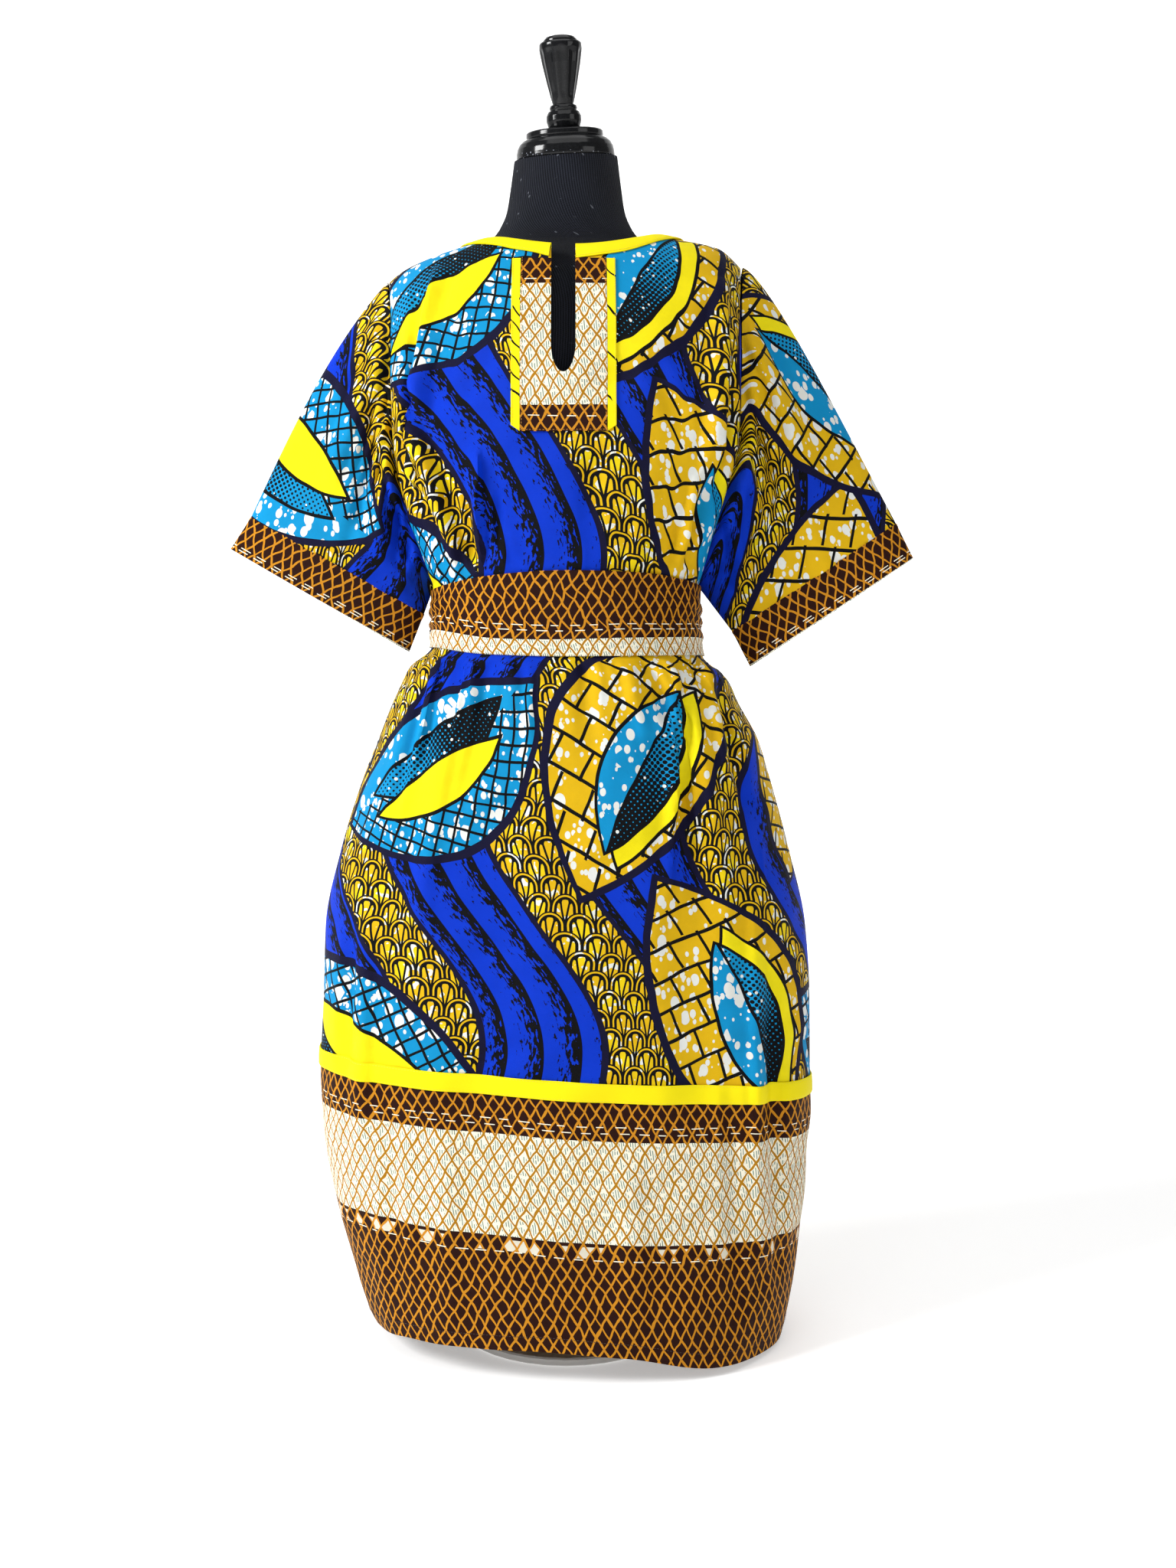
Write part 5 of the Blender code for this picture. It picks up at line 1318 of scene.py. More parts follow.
def yoke_grid(face):
    """Points of the plain bodice without its neckline, which the binding is laid on."""
    across = spread_across(PANEL_COLUMNS[face])
    shares = 1.0 - np.linspace(1.0, 0.0, YOKE_ROWS) ** YOKE_ROW_POWER * YOKE_SHARE
    return across, np.array([bodice_points(face, across, v) for v in shares])


def moved(grid, relief, face):
    """A grid moved out by its relief."""
    return grid - face * normals(grid) * relief[..., None]


def relieved(face, across, plain, ripple, gap=0.0):
    """A panel's grid with its creases, gathers and waves, moved out by a gap as well."""
    return moved(plain, panel_relief(face, across, plain, ripple) + gap, face)


def ring_of(half):
    """A ring round the dress from its front and back halves, which share their end points."""
    return np.concatenate([half(FRONT), half(BACK)[-2:0:-1]])


def quad_corners(rows, count, wrap=False):
    """The four corners of each quad in a grid of points, row by row."""
    j, i = np.mgrid[0:rows - 1, 0:count if wrap else count - 1]
    k = (i + 1) % count
    corners = [j * count + i, j * count + k, (j + 1) * count + k, (j + 1) * count + i]
    return np.stack(corners, axis=-1).reshape(-1, 4)


def make_mesh(name, grid, cloth, wrap=False, flip=False):
    """A mesh of quads from a grid of points, with each corner's flat place on its cloth."""
    quads = quad_corners(*grid.shape[:2], wrap)
    flat = quad_corners(*cloth.shape[:2])
    if flip:
        quads, flat = quads[:, ::-1], flat[:, ::-1]
    mesh = bpy.data.meshes.new(name)
    mesh.from_pydata(grid.reshape(-1, 3).tolist(), [], quads.tolist())
    layer = mesh.uv_layers.new(name="cloth")
    layer.uv.foreach_set("vector", cloth.reshape(-1, 2)[flat.ravel()].astype(np.float32).ravel())
    mesh.shade_smooth()
    return mesh


def shut(mesh):
    """Close the open ends of a mesh, join points that coincide and turn its faces outwards."""
    work = bmesh.new()
    work.from_mesh(mesh)
    bmesh.ops.remove_doubles(work, verts=work.verts, dist=0.000005)
    bmesh.ops.holes_fill(work, edges=[e for e in work.edges if e.is_boundary], sides=0)
    bmesh.ops.recalc_face_normals(work, faces=work.faces)
    work.to_mesh(mesh)
    work.free()
    mesh.shade_smooth()


def add_object(name, data):
    """Add an object to the scene."""
    obj = bpy.data.objects.new(name, data)
    bpy.context.scene.collection.objects.link(obj)
    return obj


def add_piece(name, mesh, material):
    """Add a finished piece to the scene and tie it to the frame."""
    obj = add_object(name, mesh)
    mesh.materials.append(material)
    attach(obj, "root")
    return obj


def applied(obj):
    """Turn an object's modifiers into its plain mesh."""
    graph = bpy.context.evaluated_depsgraph_get()
    mesh = bpy.data.meshes.new_from_object(obj.evaluated_get(graph), depsgraph=graph)
    obj.modifiers.clear()
    obj.data = mesh
    return mesh


def add_cloth(name, grid, cloth, material, thickness, outward=False, wrap=False, flip=False,
              cutter=None):
    """Add a shell of cloth from its surface, and cut it where a cutter says."""
    obj = add_piece(name, make_mesh(name, grid, cloth, wrap, flip), material)
    wall = obj.modifiers.new("cloth wall", "SOLIDIFY")
    wall.thickness = thickness
    wall.offset = 1.0 if outward else -1.0
    wall.use_rim = True
    if cutter:
        cut = obj.modifiers.new("opening", "BOOLEAN")
        cut.operation = "DIFFERENCE"
        cut.object = cutter
    applied(obj).set_sharp_from_angle(angle=CLOTH_SHARP_ANGLE)
    return obj


def declare(obj, node, grid, cloth):
    """Hide the solid that a cloth takes the place of, and work out the cloth's flat size and area,
    which are not kept.
    """
    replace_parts(obj, node)
    width, length = (float(max(np.ptp(cloth[..., k]), LEAST_FLAT)) for k in (0, 1))
    cross = np.cross(grid[1:, 1:] - grid[:-1, :-1], grid[1:, :-1] - grid[:-1, 1:])
    area = float(0.5 * np.linalg.norm(cross, axis=-1).sum())
    area = min(max(area, LEAST_AREA_SHARE * width * length), width * length)


class Dress:
    """What the operators share: surfaces that later pieces lie on, and stitch lines."""
    trees = {}
    seams = []


def remember(key, grid, wrap=False):
    """Keep a surface so that later pieces can be laid on it."""
    quads = quad_corners(len(grid), grid.shape[1], wrap)
    Dress.trees[key] = BVHTree.FromPolygons(grid.reshape(-1, 3).tolist(), quads.tolist())


def laid(keys, origins, direction, gap):
    """Where rays first meet some kept surfaces, moved back out by a gap."""
    shape = origins.shape[:-1]
    found = []
    for origin in origins.reshape(-1, 3):
        best = None
        for key in keys:
            hit = Dress.trees[key].ray_cast(Vector(origin), Vector(direction))
            if hit[0] is None:
                aim = Vector(origin) + Vector(direction) * MISSED_RAY_REACH
                hit = (*Dress.trees[key].find_nearest(aim)[:3], MISSED_RAY_DISTANCE)
            if best is None or hit[3] < best[3]:
                best = hit
        out = best[1] if best[1].dot(Vector(direction)) < 0.0 else -best[1]
        found.append(best[0] + out * gap)
    return np.array(found).reshape(*shape, 3)


def colours():
    """The colours that the scene's settings hold."""
    group = bpy.context.scene.shift_dress_colours
    names = list(group.__annotations__)
    return namedtuple("Colours", names)(*[tuple(getattr(group, name)) for name in names])


def slit_cutter():
    """The prism that cuts the front opening."""
    turn = np.linspace(0.0, pi, SLIT_STEPS + 1)
    x = np.concatenate([[-1.0], -np.cos(turn), [1.0]]) * SLIT_HALF_WIDTH + SLIT_CENTRE_X
    foot = SLIT_FOOT_HEIGHT + SLIT_ROUNDING * (1.0 - np.sin(turn))
    z = np.concatenate([[SLIT_CUT_TOP], foot, [SLIT_CUT_TOP]])
    grid = np.array([np.stack([x, np.full(x.shape, y), z], axis=-1) for y in SLIT_CUT_REACH])
    mesh = make_mesh("slit_cutter", grid, ring_cloth(grid), wrap=True)
    shut(mesh)
    return add_object("slit_cutter", mesh)


def seam(name, points):
    """Keep a line of stitches for later."""
    Dress.seams.append((name, np.array(points)))


class DRESS_OT_panels(bpy.types.Operator):
    """Add the front and the back of the dress"""
    bl_idname = "shift_dress.panels"
    bl_label = "Front and Back"

    def execute(self, context):
        sizes = context.scene.shift_dress_sizes
        cutter = slit_cutter()
        for name, face in FACES.items():
            across, plain = panel_grid(face)
            start = PRINT_START[face]
            cloth = np.stack([arcs(plain) * -face + start, rises(plain, BAND_HEIGHT)], axis=-1)
            grid = relieved(face, across, plain, sizes.ripple)
            remember(name, grid)
            remember("yoke_" + name, relieved(face, *yoke_grid(face), sizes.ripple))
            obj = add_cloth("cloth_" + name, grid, cloth, wax_print(colours()),
                            sizes.cloth, flip=face > 0, cutter=cutter if face < 0 else None)
            declare(obj, "dress_" + name, plain, cloth)
        bpy.data.objects.remove(cutter)
        return {"FINISHED"}


class DRESS_OT_sleeves(bpy.types.Operator):
    """Add the sleeves and their cuffs"""
    bl_idname = "shift_dress.sleeves"
    bl_label = "Sleeves and Cuffs"

    def execute(self, context):
        sizes = context.scene.shift_dress_sizes
        net = net_print("net_print_cuff", colours(), cream=[], dashes=[0.0065, 0.0095],
                        pale_edge=0.0018)
        for name, side in SIDES.items():
            rows = np.linspace(SLEEVE_START, SLEEVE_END, SLEEVE_ROWS + 1) ** SLEEVE_ROW_POWER
            grid = np.array([sleeve_ring(side, place) for place in rows])
            cloth = sleeve_cloth(grid, side, SLEEVE_PRINT_START[side])
            obj = add_cloth("cloth_sleeve_" + name, grid, cloth, wax_print(colours()),
                            sizes.cloth, wrap=True, flip=side < 0)
            declare(obj, "sleeve_" + name, closed(grid), cloth)
            self.add_cuff(name, side, net, sizes)
        return {"FINISHED"}

    def add_cuff(self, name, side, net, sizes):
        """A cuff, whose first rings lap over the sleeve's lower edge."""
        places = np.concatenate([[CUFF_LAP_START], np.linspace(CUFF_GAP_SHARE, 1.0, CUFF_ROWS)])
        grid = np.array([cuff_ring(side, place) for place in places])
        out = unit(grid - grid.mean(axis=1, keepdims=True))
        grid += CUFF_LAP * out * (1.0 - ramp(places, 0.0, 0.2))[:, None, None]
        cloth = ring_cloth(grid)
        cloth[..., 1] = cloth[..., 1].max() - cloth[..., 1]
        obj = add_cloth("cloth_cuff_" + name, grid, cloth, net, sizes.cloth,
                        wrap=True, flip=side < 0)
        declare(obj, "cuff_" + name, closed(grid), cloth)
        for place in CUFF_STITCHES:
            line = cuff_ring(side, place)
            outward = (line - line.mean(axis=0)) * CUFF_THREAD_SPREAD
            seam("brown", closed((line + outward)[None])[0])


def closed(grid):
    """A ring grid with its first column again at its end."""
    return np.concatenate([grid, grid[:, :1]], axis=1)


def ring_cloth(grid):
    """Flat cloth of a ring grid: round it from opposite its first point, and along it."""
    loop = closed(grid)
    path = paths(loop)
    return np.stack([path - 0.5 * path[:, -1:], rises(loop)], axis=-1)


def sleeve_cloth(grid, side, start):
    """Flat cloth of a sleeve: along its upper fold, and round from that fold to the underarm."""
    loop = closed(grid)
    top = RING_POINTS // 2
    along = unit((loop[-1, top] - loop[0, top]) * np.array([1.0, 0.0, 1.0]))
    down = (loop - loop[0, top]) @ along
    path = arcs(loop)
    slant = down - down[:, top:top + 1]
    round_it = np.sign(path) * np.sqrt(np.maximum(path ** 2 - slant ** 2, 0.0))
    return np.stack([round_it * side + start, -down], axis=-1)


def loop_shares():
    """Face and share down of each point of a sleeve's ring, from the underarm round the front."""
    turn = np.arange(RING_POINTS) / RING_POINTS
    face = np.where(turn < 0.5, -1.0, 1.0)
    return face, 0.5 * (1.0 + np.cos(2.0 * pi * turn))


def flat_loop(ends, side, share, face, half_depth):
    """A flattened loop from its upper fold (share 0) to its under fold (1)."""
    x = side * (ends.upper_x + (ends.under_x - ends.upper_x) * share)
    z = ends.upper_z + (ends.under_z - ends.upper_z) * share
    swell = np.maximum(np.sin(pi * share), 0.0) ** CUFF_FULLNESS
    return np.stack([x, face * half_depth * swell - CUFF_FORWARD, z], axis=-1)


def sleeve_fold_field(folds, share, place):
    """Heights of folds in a sleeve."""
    total = np.zeros(share.shape)
    for fold in folds:
        run = (place - fold.start) / (fold.end - fold.start)
        if 0.0 < run < 1.0:
            offset = (share - fold.along - fold.drift * run) / fold.width
            total = total + fold.height * bump(offset) * sin(pi * run ** 0.6)
    return total


def sleeve_ring(side, place):
    """One ring of a sleeve, place 0 at the armhole and 1 at the cuff's seam."""
    face, share = loop_shares()
    start = bodice_points(FRONT, float(side), 1.0 - share)
    start[:, 1] = face * armhole_depth(1.0 - share)
    end = flat_loop(CUFF_SEAM[side], side, share, face, CUFF_HALF_DEPTH)
    ring = start + (end - start) * place
    hump = SLEEVE_BULGE * sin(pi * place ** BULGE_SKEW[side]) * (1.0 - share) ** 2
    ring[:, 0] += side * hump * BULGE_OUT
    ring[:, 2] += hump * BULGE_UP
    depth = sleeve_fold_field(SLEEVE_FOLDS, share, place)
    depth = depth + SLEEVE_CREASE_DEPTH * sleeve_fold_field(SLEEVE_CREASES[side], share, place)
    depth = depth + SLEEVE_SWELL * bump((place - SWELL_PLACE) / SWELL_PLACE) * np.sin(pi * share)
    depth = depth + ripple_field(SLEEVE_RIPPLE_SEED + side, share * 0.25, place * 0.25, 0.0010)
    ring[:, 1] += face * depth * np.maximum(np.sin(pi * share), 0.0) ** 0.5
    return ring


def cuff_ring(side, place):
    """One ring of a cuff, from its seam with the sleeve to its hem."""
    face, share = loop_shares()
    top = flat_loop(CUFF_SEAM[side], side, share, face, CUFF_HALF_DEPTH)
    foot = flat_loop(CUFF_HEM[side], side, share, face, CUFF_HALF_DEPTH * CUFF_HEM_SPREAD)
    return top + (foot - top) * place


def border_grid(face):
    """Points of the plain border from its hem to its seam under the hip band."""
    across = spread_across(PANEL_COLUMNS[face])
    top = skirt_heights(face, across, BAND_HEIGHT - PANEL_END_BELOW_BAND - SEAM_GAP)
    foot = hem_height[face](across)
    shares = np.linspace(0.0, 1.0, BORDER_ROWS + 1)
    rows = [skirt_points(face, across, foot + (top - foot) * s) for s in shares]
    return across, np.array(rows)


def band_ring(height, gap, ripple):
    """A ring round the skirt at the hip band, outside both panels."""
    def half(face):
        across = spread_across(PANEL_COLUMNS[face])
        plain = [skirt_points(face, across, skirt_heights(face, across, z))
                 for z in (height - NEAR_ROW, height, height + NEAR_ROW)]
        return relieved(face, across, np.array(plain), ripple, gap)[1]

    return ring_of(half)


class DRESS_OT_border(bpy.types.Operator):
    """Add the hem border and the yellow band over its seam"""
    bl_idname = "shift_dress.border"
    bl_label = "Border and Hip Band"

    def execute(self, context):
        sizes = context.scene.shift_dress_sizes
        net = net_print("net_print_border", colours(), cream=[(-0.150, -0.055)],
                        dashes=[-0.041, -0.047, -0.1650], cells_at=-0.1585)
        for name, face in FACES.items():
            across, plain = border_grid(face)
            rise = rises(plain)
            rise = rise - rise[-1:] - PANEL_END_BELOW_BAND
            cloth = np.stack([arcs(plain) * -face, rise], axis=-1)
            grid = relieved(face, across, plain, sizes.ripple)
            obj = add_cloth("cloth_border_" + name, grid, cloth, net,
                            sizes.cloth, flip=face > 0)
            declare(obj, "border_" + name, plain, cloth)
            if face == FRONT:
                gap = np.full((3, grid.shape[1]), HEM_THREAD_LIFT)
                seam("brown", moved(grid[2:5], gap, face)[1])
        yellow = yellow_cotton("yellow_cotton", colours())
        grid = np.array([
            band_ring(BAND_HEIGHT - share * BAND_WIDTH, sizes.lay + puff * BAND_PUFF, sizes.ripple)
            for share, puff in BAND_SECTION])
        cloth = ring_cloth(grid)
        obj = add_cloth("cloth_hip_band", grid, cloth, yellow, sizes.trim,
                        outward=True, wrap=True)
        declare(obj, "hip_band", closed(grid), cloth)
        lift = sizes.lay + sizes.trim + BAND_THREAD_LIFT
        for drop in (EDGE_STITCH, BAND_WIDTH - EDGE_STITCH):
            seam("yellow", closed(band_ring(BAND_HEIGHT - drop, lift, sizes.ripple)[None])[0])
        return {"FINISHED"}


def on_front(x, z, gap):
    """Points over the dress's front at places of the front view, moved out by a gap."""
    x, z = np.broadcast_arrays(x, z)
    origins = np.stack([x, np.full(z.shape, FRONT * RAY_DEPTH), z], axis=-1)
    return laid(["front"], origins, (0.0, 1.0, 0.0), gap)


def facing_grid(left, right, foot_left, foot_right, gap, columns, rows):
    """A patch laid on the front between two upright edges."""
    across = np.linspace(0.0, 1.0, columns)
    up = np.linspace(0.0, 1.0, rows)[:, None]
    foot = foot_left + (foot_right - foot_left) * across
    z = foot + (FACING_TOP - foot) * up
    x = np.broadcast_to(left + (right - left) * across, z.shape)
    return on_front(x, z, gap), np.stack([x, z - FACING_TOP], axis=-1)


def binding_grid(face, start, end, gap):
    """A stretch of the neck binding, from its outer edge over the neckline."""
    turns = np.linspace(start, end, BINDING_COLUMNS[face])
    rows = []
    for share, puff in BINDING_SECTION:
        x = NECK_CENTRE_X + (NECK_HALF_WIDTH + BINDING_WIDTH * share) * np.sin(turns)
        y = face * (NECK_REACH[face] + BINDING_WIDTH * share) * np.cos(turns)
        origins = np.stack([x, y, np.full(x.shape, RAY_HEIGHT)], axis=-1)
        height = gap + puff * BINDING_PUFF
        rows.append(laid(["yoke_front", "yoke_back"], origins, (0.0, 0.0, -1.0), height))
    inner = rows[-1]
    flat = np.array([1.0, 1.0, 0.0])
    inward = unit((np.array([NECK_CENTRE_X, 0.0, 0.0]) - inner) * flat)
    for reach, drop in BINDING_TURN_UNDER:
        rows.append(inner + inward * reach - np.array([0.0, 0.0, drop]))
    return np.array(rows)


class DRESS_OT_neck(bpy.types.Operator):
    """Add the facing of the slit, its side strips and the neck binding"""
    bl_idname = "shift_dress.neck"
    bl_label = "Facing and Neck Binding"

    def execute(self, context):
        sizes = context.scene.shift_dress_sizes
        net = net_print("net_print_placket", colours(), cream=[(-0.1530, -0.0290)],
                        dashes=[-0.0235, -0.1640])
        cutter = slit_cutter()
        grid, cloth = facing_grid(FACING_LEFT, FACING_RIGHT, FACING_FOOT, FACING_FOOT,
                                  sizes.lay, FACING_COLUMNS, FACING_ROWS)
        obj = add_cloth("cloth_placket", grid, cloth, net, sizes.trim,
                        outward=True, cutter=cutter)
        declare(obj, "placket", grid, cloth)
        bpy.data.objects.remove(cutter)
        left, right = FACING_LEFT - SEAM_GAP, FACING_RIGHT + SEAM_GAP
        high = FACING_FOOT + STRIP_RISE
        for name, edges in (("left", (left - STRIP_WIDTH, left, high, FACING_FOOT)),
                            ("right", (right, right + STRIP_WIDTH, FACING_FOOT, high))):
            strip = yellow_cotton("yellow_cotton_" + name, colours(), STROKES_APART[name])
            grid, cloth = facing_grid(*edges, sizes.lay, STRIP_COLUMNS, FACING_ROWS)
            obj = add_cloth("cloth_strip_" + name, grid, cloth, strip, sizes.trim,
                            outward=True)
            declare(obj, "placket_strip_" + name, grid, cloth)
        lift = sizes.lay + sizes.trim + THREAD_LIFT
        for thread, x in (("orange", FACING_LEFT + EDGE_STITCH),
                          ("orange", FACING_RIGHT - EDGE_STITCH),
                          ("yellow", left - STRIP_WIDTH + STRIP_STITCH),
                          ("yellow", right + STRIP_WIDTH - STRIP_STITCH)):
            z = np.linspace(FACING_FOOT + STITCH_START[thread], FACING_TOP, STITCH_COLUMNS)
            seam(thread, on_front(x, z, lift))
        x = np.linspace(FACING_LEFT, FACING_RIGHT, FOOT_STITCH_COLUMNS)
        seam("orange", on_front(x, FACING_FOOT + FOOT_STITCH, lift))
        self.add_binding(sizes)
        return {"FINISHED"}

    def add_binding(self, sizes):
        """The binding's three stretches, between the slit and the shoulder seams."""
        yellow = yellow_cotton("yellow_cotton", colours())
        out, up = BINDING_THREAD_LIFT
        slit = SLIT_HALF_WIDTH / NECK_HALF_WIDTH
        shoulder = pi / 2 - BINDING_END
        stretches = (("left", FRONT, -shoulder, BINDING_PAST_SLIT["left"] - slit),
                     ("right", FRONT, BINDING_PAST_SLIT["right"] + slit, shoulder),
                     ("back", BACK, shoulder, -shoulder))
        for name, face, start, end in stretches:
            grid = binding_grid(face, start, end, sizes.lay)
            cloth = np.stack([arcs(grid), rises(grid)], axis=-1)
            obj = add_cloth("cloth_binding_" + name, grid, cloth, yellow,
                            sizes.trim, outward=True)
            declare(obj, "neck_binding_" + name, grid, cloth)
            seam("yellow", grid[1] + np.array([0.0, face * out, up]))


def sash_row(face, across, share):
    """Points of the plain dress under the sash, at a share of the sash's height."""
    foot, top = sash_foot[face](across), sash_top[face](across)
    z = foot + (top - foot) * share
    v = (z - UNDERARM_HEIGHT) / (shoulder_height(0.0) - UNDERARM_HEIGHT)
    upper = bodice_points(face, across, np.maximum(v, 0.0))
    return np.where((z > UNDERARM_HEIGHT)[:, None], upper, skirt_points(face, across, z))


def sash_ring(share, gap, lift):
    """A ring of the sash at a share of its height, outside both panels."""
    def half(face):
        across = spread_across(PANEL_COLUMNS[face])
        plain = np.array([sash_row(face, across, share + step) for step in SASH_STEPS])
        relief = np.full(plain.shape[:2], gap)
        arc = arcs(plain)[1]
        inwards = 1.0 - np.abs(arc) / np.abs(arc).max()
        for crease in SASH_CREASES[face]:
            line = crease.start + (crease.end - crease.start) * ramp(inwards, 0.0, crease.reach)
            fade = 1.0 - ramp(inwards, crease.reach * 0.4, crease.reach)
            fade = fade * (np.sign(arc) == crease.side)
            relief[1] += crease.height * fade * bump((share - line) / crease.width)
        relief[1] += lift
        return moved(plain, relief, face)[1]

    return ring_of(half)


class DRESS_OT_sash(bpy.types.Operator):
    """Add the sash, its knot and its two hanging ends"""
    bl_idname = "shift_dress.sash"
    bl_label = "Sash"

    def execute(self, context):
        sizes = context.scene.shift_dress_sizes
        net = net_print("net_print_sash", colours(), cream=[(-0.01, 0.0185)],
                        dashes=[0.0275, 0.0325])
        shares = np.linspace(0.0, 1.0, SASH_ROWS)
        grid = np.array([sash_ring(s, sizes.sash_lay, SASH_PUFF * sin(pi * s)) for s in shares])
        cloth = ring_cloth(grid)
        remember("sash", grid, wrap=True)
        obj = add_cloth("cloth_sash", grid, cloth, net, sizes.sash,
                        outward=True, wrap=True)
        declare(obj, "sash", closed(grid), cloth)
        self.add_knot(net)
        self.add_tails(net, sizes)
        return {"FINISHED"}

    def add_knot(self, net):
        """The knot: a lump of cloth with folds that run into it from both sides."""
        centre = np.mean(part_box("sash_knot"), axis=0)
        lat = np.linspace(0.02, pi - 0.02, KNOT_RINGS)[:, None]
        lon = np.arange(KNOT_COLUMNS) / KNOT_COLUMNS * 2 * pi
        squash = 1.0 + KNOT_SQUASH * np.cos(2 * lon) * np.sin(lat)
        folds = np.abs(np.sin(KNOT_FOLDS * lon + KNOT_TWIST * np.cos(lat))) * np.sin(lat) ** 2
        pinch = bump((np.abs(np.cos(lat)) - KNOT_PINCH_PLACE) / KNOT_PINCH_WIDTH)
        radius = np.sin(lat) ** 0.8 * squash * (1.0 - KNOT_FOLD_DEPTH * folds)
        radius = radius * KNOT_FILL[1] * (1.0 - KNOT_PINCH * pinch)
        x = -KNOT_FILL[0] * np.cos(lat) * np.ones_like(lon)
        place = np.stack([x, radius * np.cos(lon), radius * np.sin(lon)], axis=-1)
        grid = place * KNOT_SIZE + centre
        mesh = make_mesh("cloth_knot", grid, ring_cloth(grid) + KNOT_PRINT_START, wrap=True)
        shut(mesh)
        obj = add_piece("cloth_knot", mesh, net)
        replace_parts(obj, "sash_knot")

    def add_tails(self, net, sizes):
        """The two ends, which hang from the knot over the back of the skirt."""
        top = KNOT_HEIGHT - 0.55 * KNOT_SIZE[2]
        down = np.linspace(0.0, 1.0, TAIL_ROWS)[:, None]
        across = np.linspace(-1.0, 1.0, TAIL_COLUMNS)
        spread = TAIL_NARROWEST + (1.0 - TAIL_NARROWEST) * ramp(down, 0.0, TAIL_WIDE_FROM)
        for tail in TAILS:
            sway = TAIL_SWAY * np.sin(down * 5.0 + tail.foot_x * 60.0)
            middle = tail.top_x + (tail.foot_x - tail.top_x) * down + sway
            x = middle + across * tail.half_width * spread
            tilt = TAIL_TILT * across * down * np.sign(tail.foot_x)
            z = top + (tail.foot - top) * down + tilt
            origins = np.stack([x, np.full(x.shape, BACK * RAY_DEPTH), z], axis=-1)
            grid = laid(["back", "sash"], origins, (0.0, -1.0, 0.0), TAIL_GAP)
            smooth = grid[..., 1].copy()
            for _ in range(30):
                smooth[1:-1] = np.maximum(smooth[1:-1], 0.5 * (smooth[:-2] + smooth[2:]))
            waves = np.cos(across * 7.0 + tail.foot_x * 40.0) * (0.55 - 0.3 * down) + 0.6
            grid[..., 1] = smooth + TAIL_WAVE * waves * ramp(down, 0.0, 0.15)
            width = across * TAIL_HALF_CLOTH * np.ones_like(down)
            cloth = np.stack([z[0, 0] - z, width], axis=-1) + TAIL_PRINT_START
            obj = add_cloth("cloth_" + tail.node, grid[::-1], cloth[::-1], net,
                            sizes.cloth, outward=True, flip=True)
            declare(obj, tail.node, grid, cloth)


def form_grid():
    """The form's rings, from its underside to the tilted top of its neck."""
    half_width = curve(FORM_LEVELS, "z", "half_width")
    front, back = curve(FORM_LEVELS, "z", "front"), curve(FORM_LEVELS, "z", "back")
    turn = 2.0 * pi * np.arange(FORM_COLUMNS) / FORM_COLUMNS - pi
    rows = []
    for z in np.linspace(FORM_LEVELS[0].z, NECK_TOP_HEIGHT, FORM_ROWS):
        x = half_width(z) * np.cos(turn)
        depth = np.where(turn < 0.0, front(z), back(z))
        y = depth * np.sin(turn)
        slope = y * tan(HEAD_LEAN) / cos(HEAD_TILT) - x * tan(HEAD_TILT)
        rows.append(np.stack([x, y, z + ramp(z, FORM_TILT_FROM, NECK_TOP_HEIGHT) * slope], axis=-1))
    return np.array(rows)


def turned_grid(profile, flutes=0):
    """Rings of a turned shape on the tilted axis over the neck, with flutes where asked."""
    outline = np.array(profile)
    steps = paths(outline[None])[0]
    fine = np.unique(np.concatenate([np.linspace(0.0, steps[-1], 90), steps]))
    r, h = (np.interp(fine, steps, column)[:, None] for column in outline.T)
    turn = 2.0 * pi * np.arange(TURN_COLUMNS) / TURN_COLUMNS
    fluted = ramp(h, FLUTE_FOOT, FLUTE_FOOT + FLUTE_FOOT_FADE)
    fluted = fluted * ramp(-h, -FLUTE_TOP, FLUTE_TOP_FADE - FLUTE_TOP)
    radius = r * (1.0 - 0.5 * FLUTE_DEPTH * fluted * (1.0 - np.cos(flutes * turn)))
    x, y, z = radius * np.cos(turn), radius * np.sin(turn), h
    y, z = y * cos(HEAD_LEAN) - z * sin(HEAD_LEAN), z * cos(HEAD_LEAN) + y * sin(HEAD_LEAN)
    x, z = x * cos(HEAD_TILT) + z * sin(HEAD_TILT), z * cos(HEAD_TILT) - x * sin(HEAD_TILT)
    return np.stack([x, y, z + NECK_TOP_HEIGHT], axis=-1)


def add_closed(name, grid, look, node):
    """Add a closed solid from rings whose ends are shut."""
    mesh = make_mesh(name, grid, ring_cloth(grid), wrap=True)
    shut(mesh)
    mesh.set_sharp_from_angle(angle=SOLID_SHARP_ANGLE)
    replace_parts(add_piece(name, mesh, look), node)


class DRESS_OT_form(bpy.types.Operator):
    """Add the dress form with its cap, finial, pole and base"""
    bl_idname = "shift_dress.form"
    bl_label = "Dress Form"

    def execute(self, context):
        knit = black_knit(colours())
        add_closed("knit_torso", form_grid(), knit, "form_torso")
        lacquer = black_lacquer(colours())
        for node, profile, flutes in (("neck_cap", CAP_PROFILE, 0), ("finial", FINIAL_PROFILE, FLUTES)):
            grid = turned_grid(profile[::-1], flutes)
            add_closed("lacquered_" + node, grid, lacquer, node)
        metal = pale_metal(colours())
        for node in ("pole", "base_plate"):
            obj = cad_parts[node]
            obj.data.materials.clear()
            obj.data.materials.append(metal)
        return {"FINISHED"}


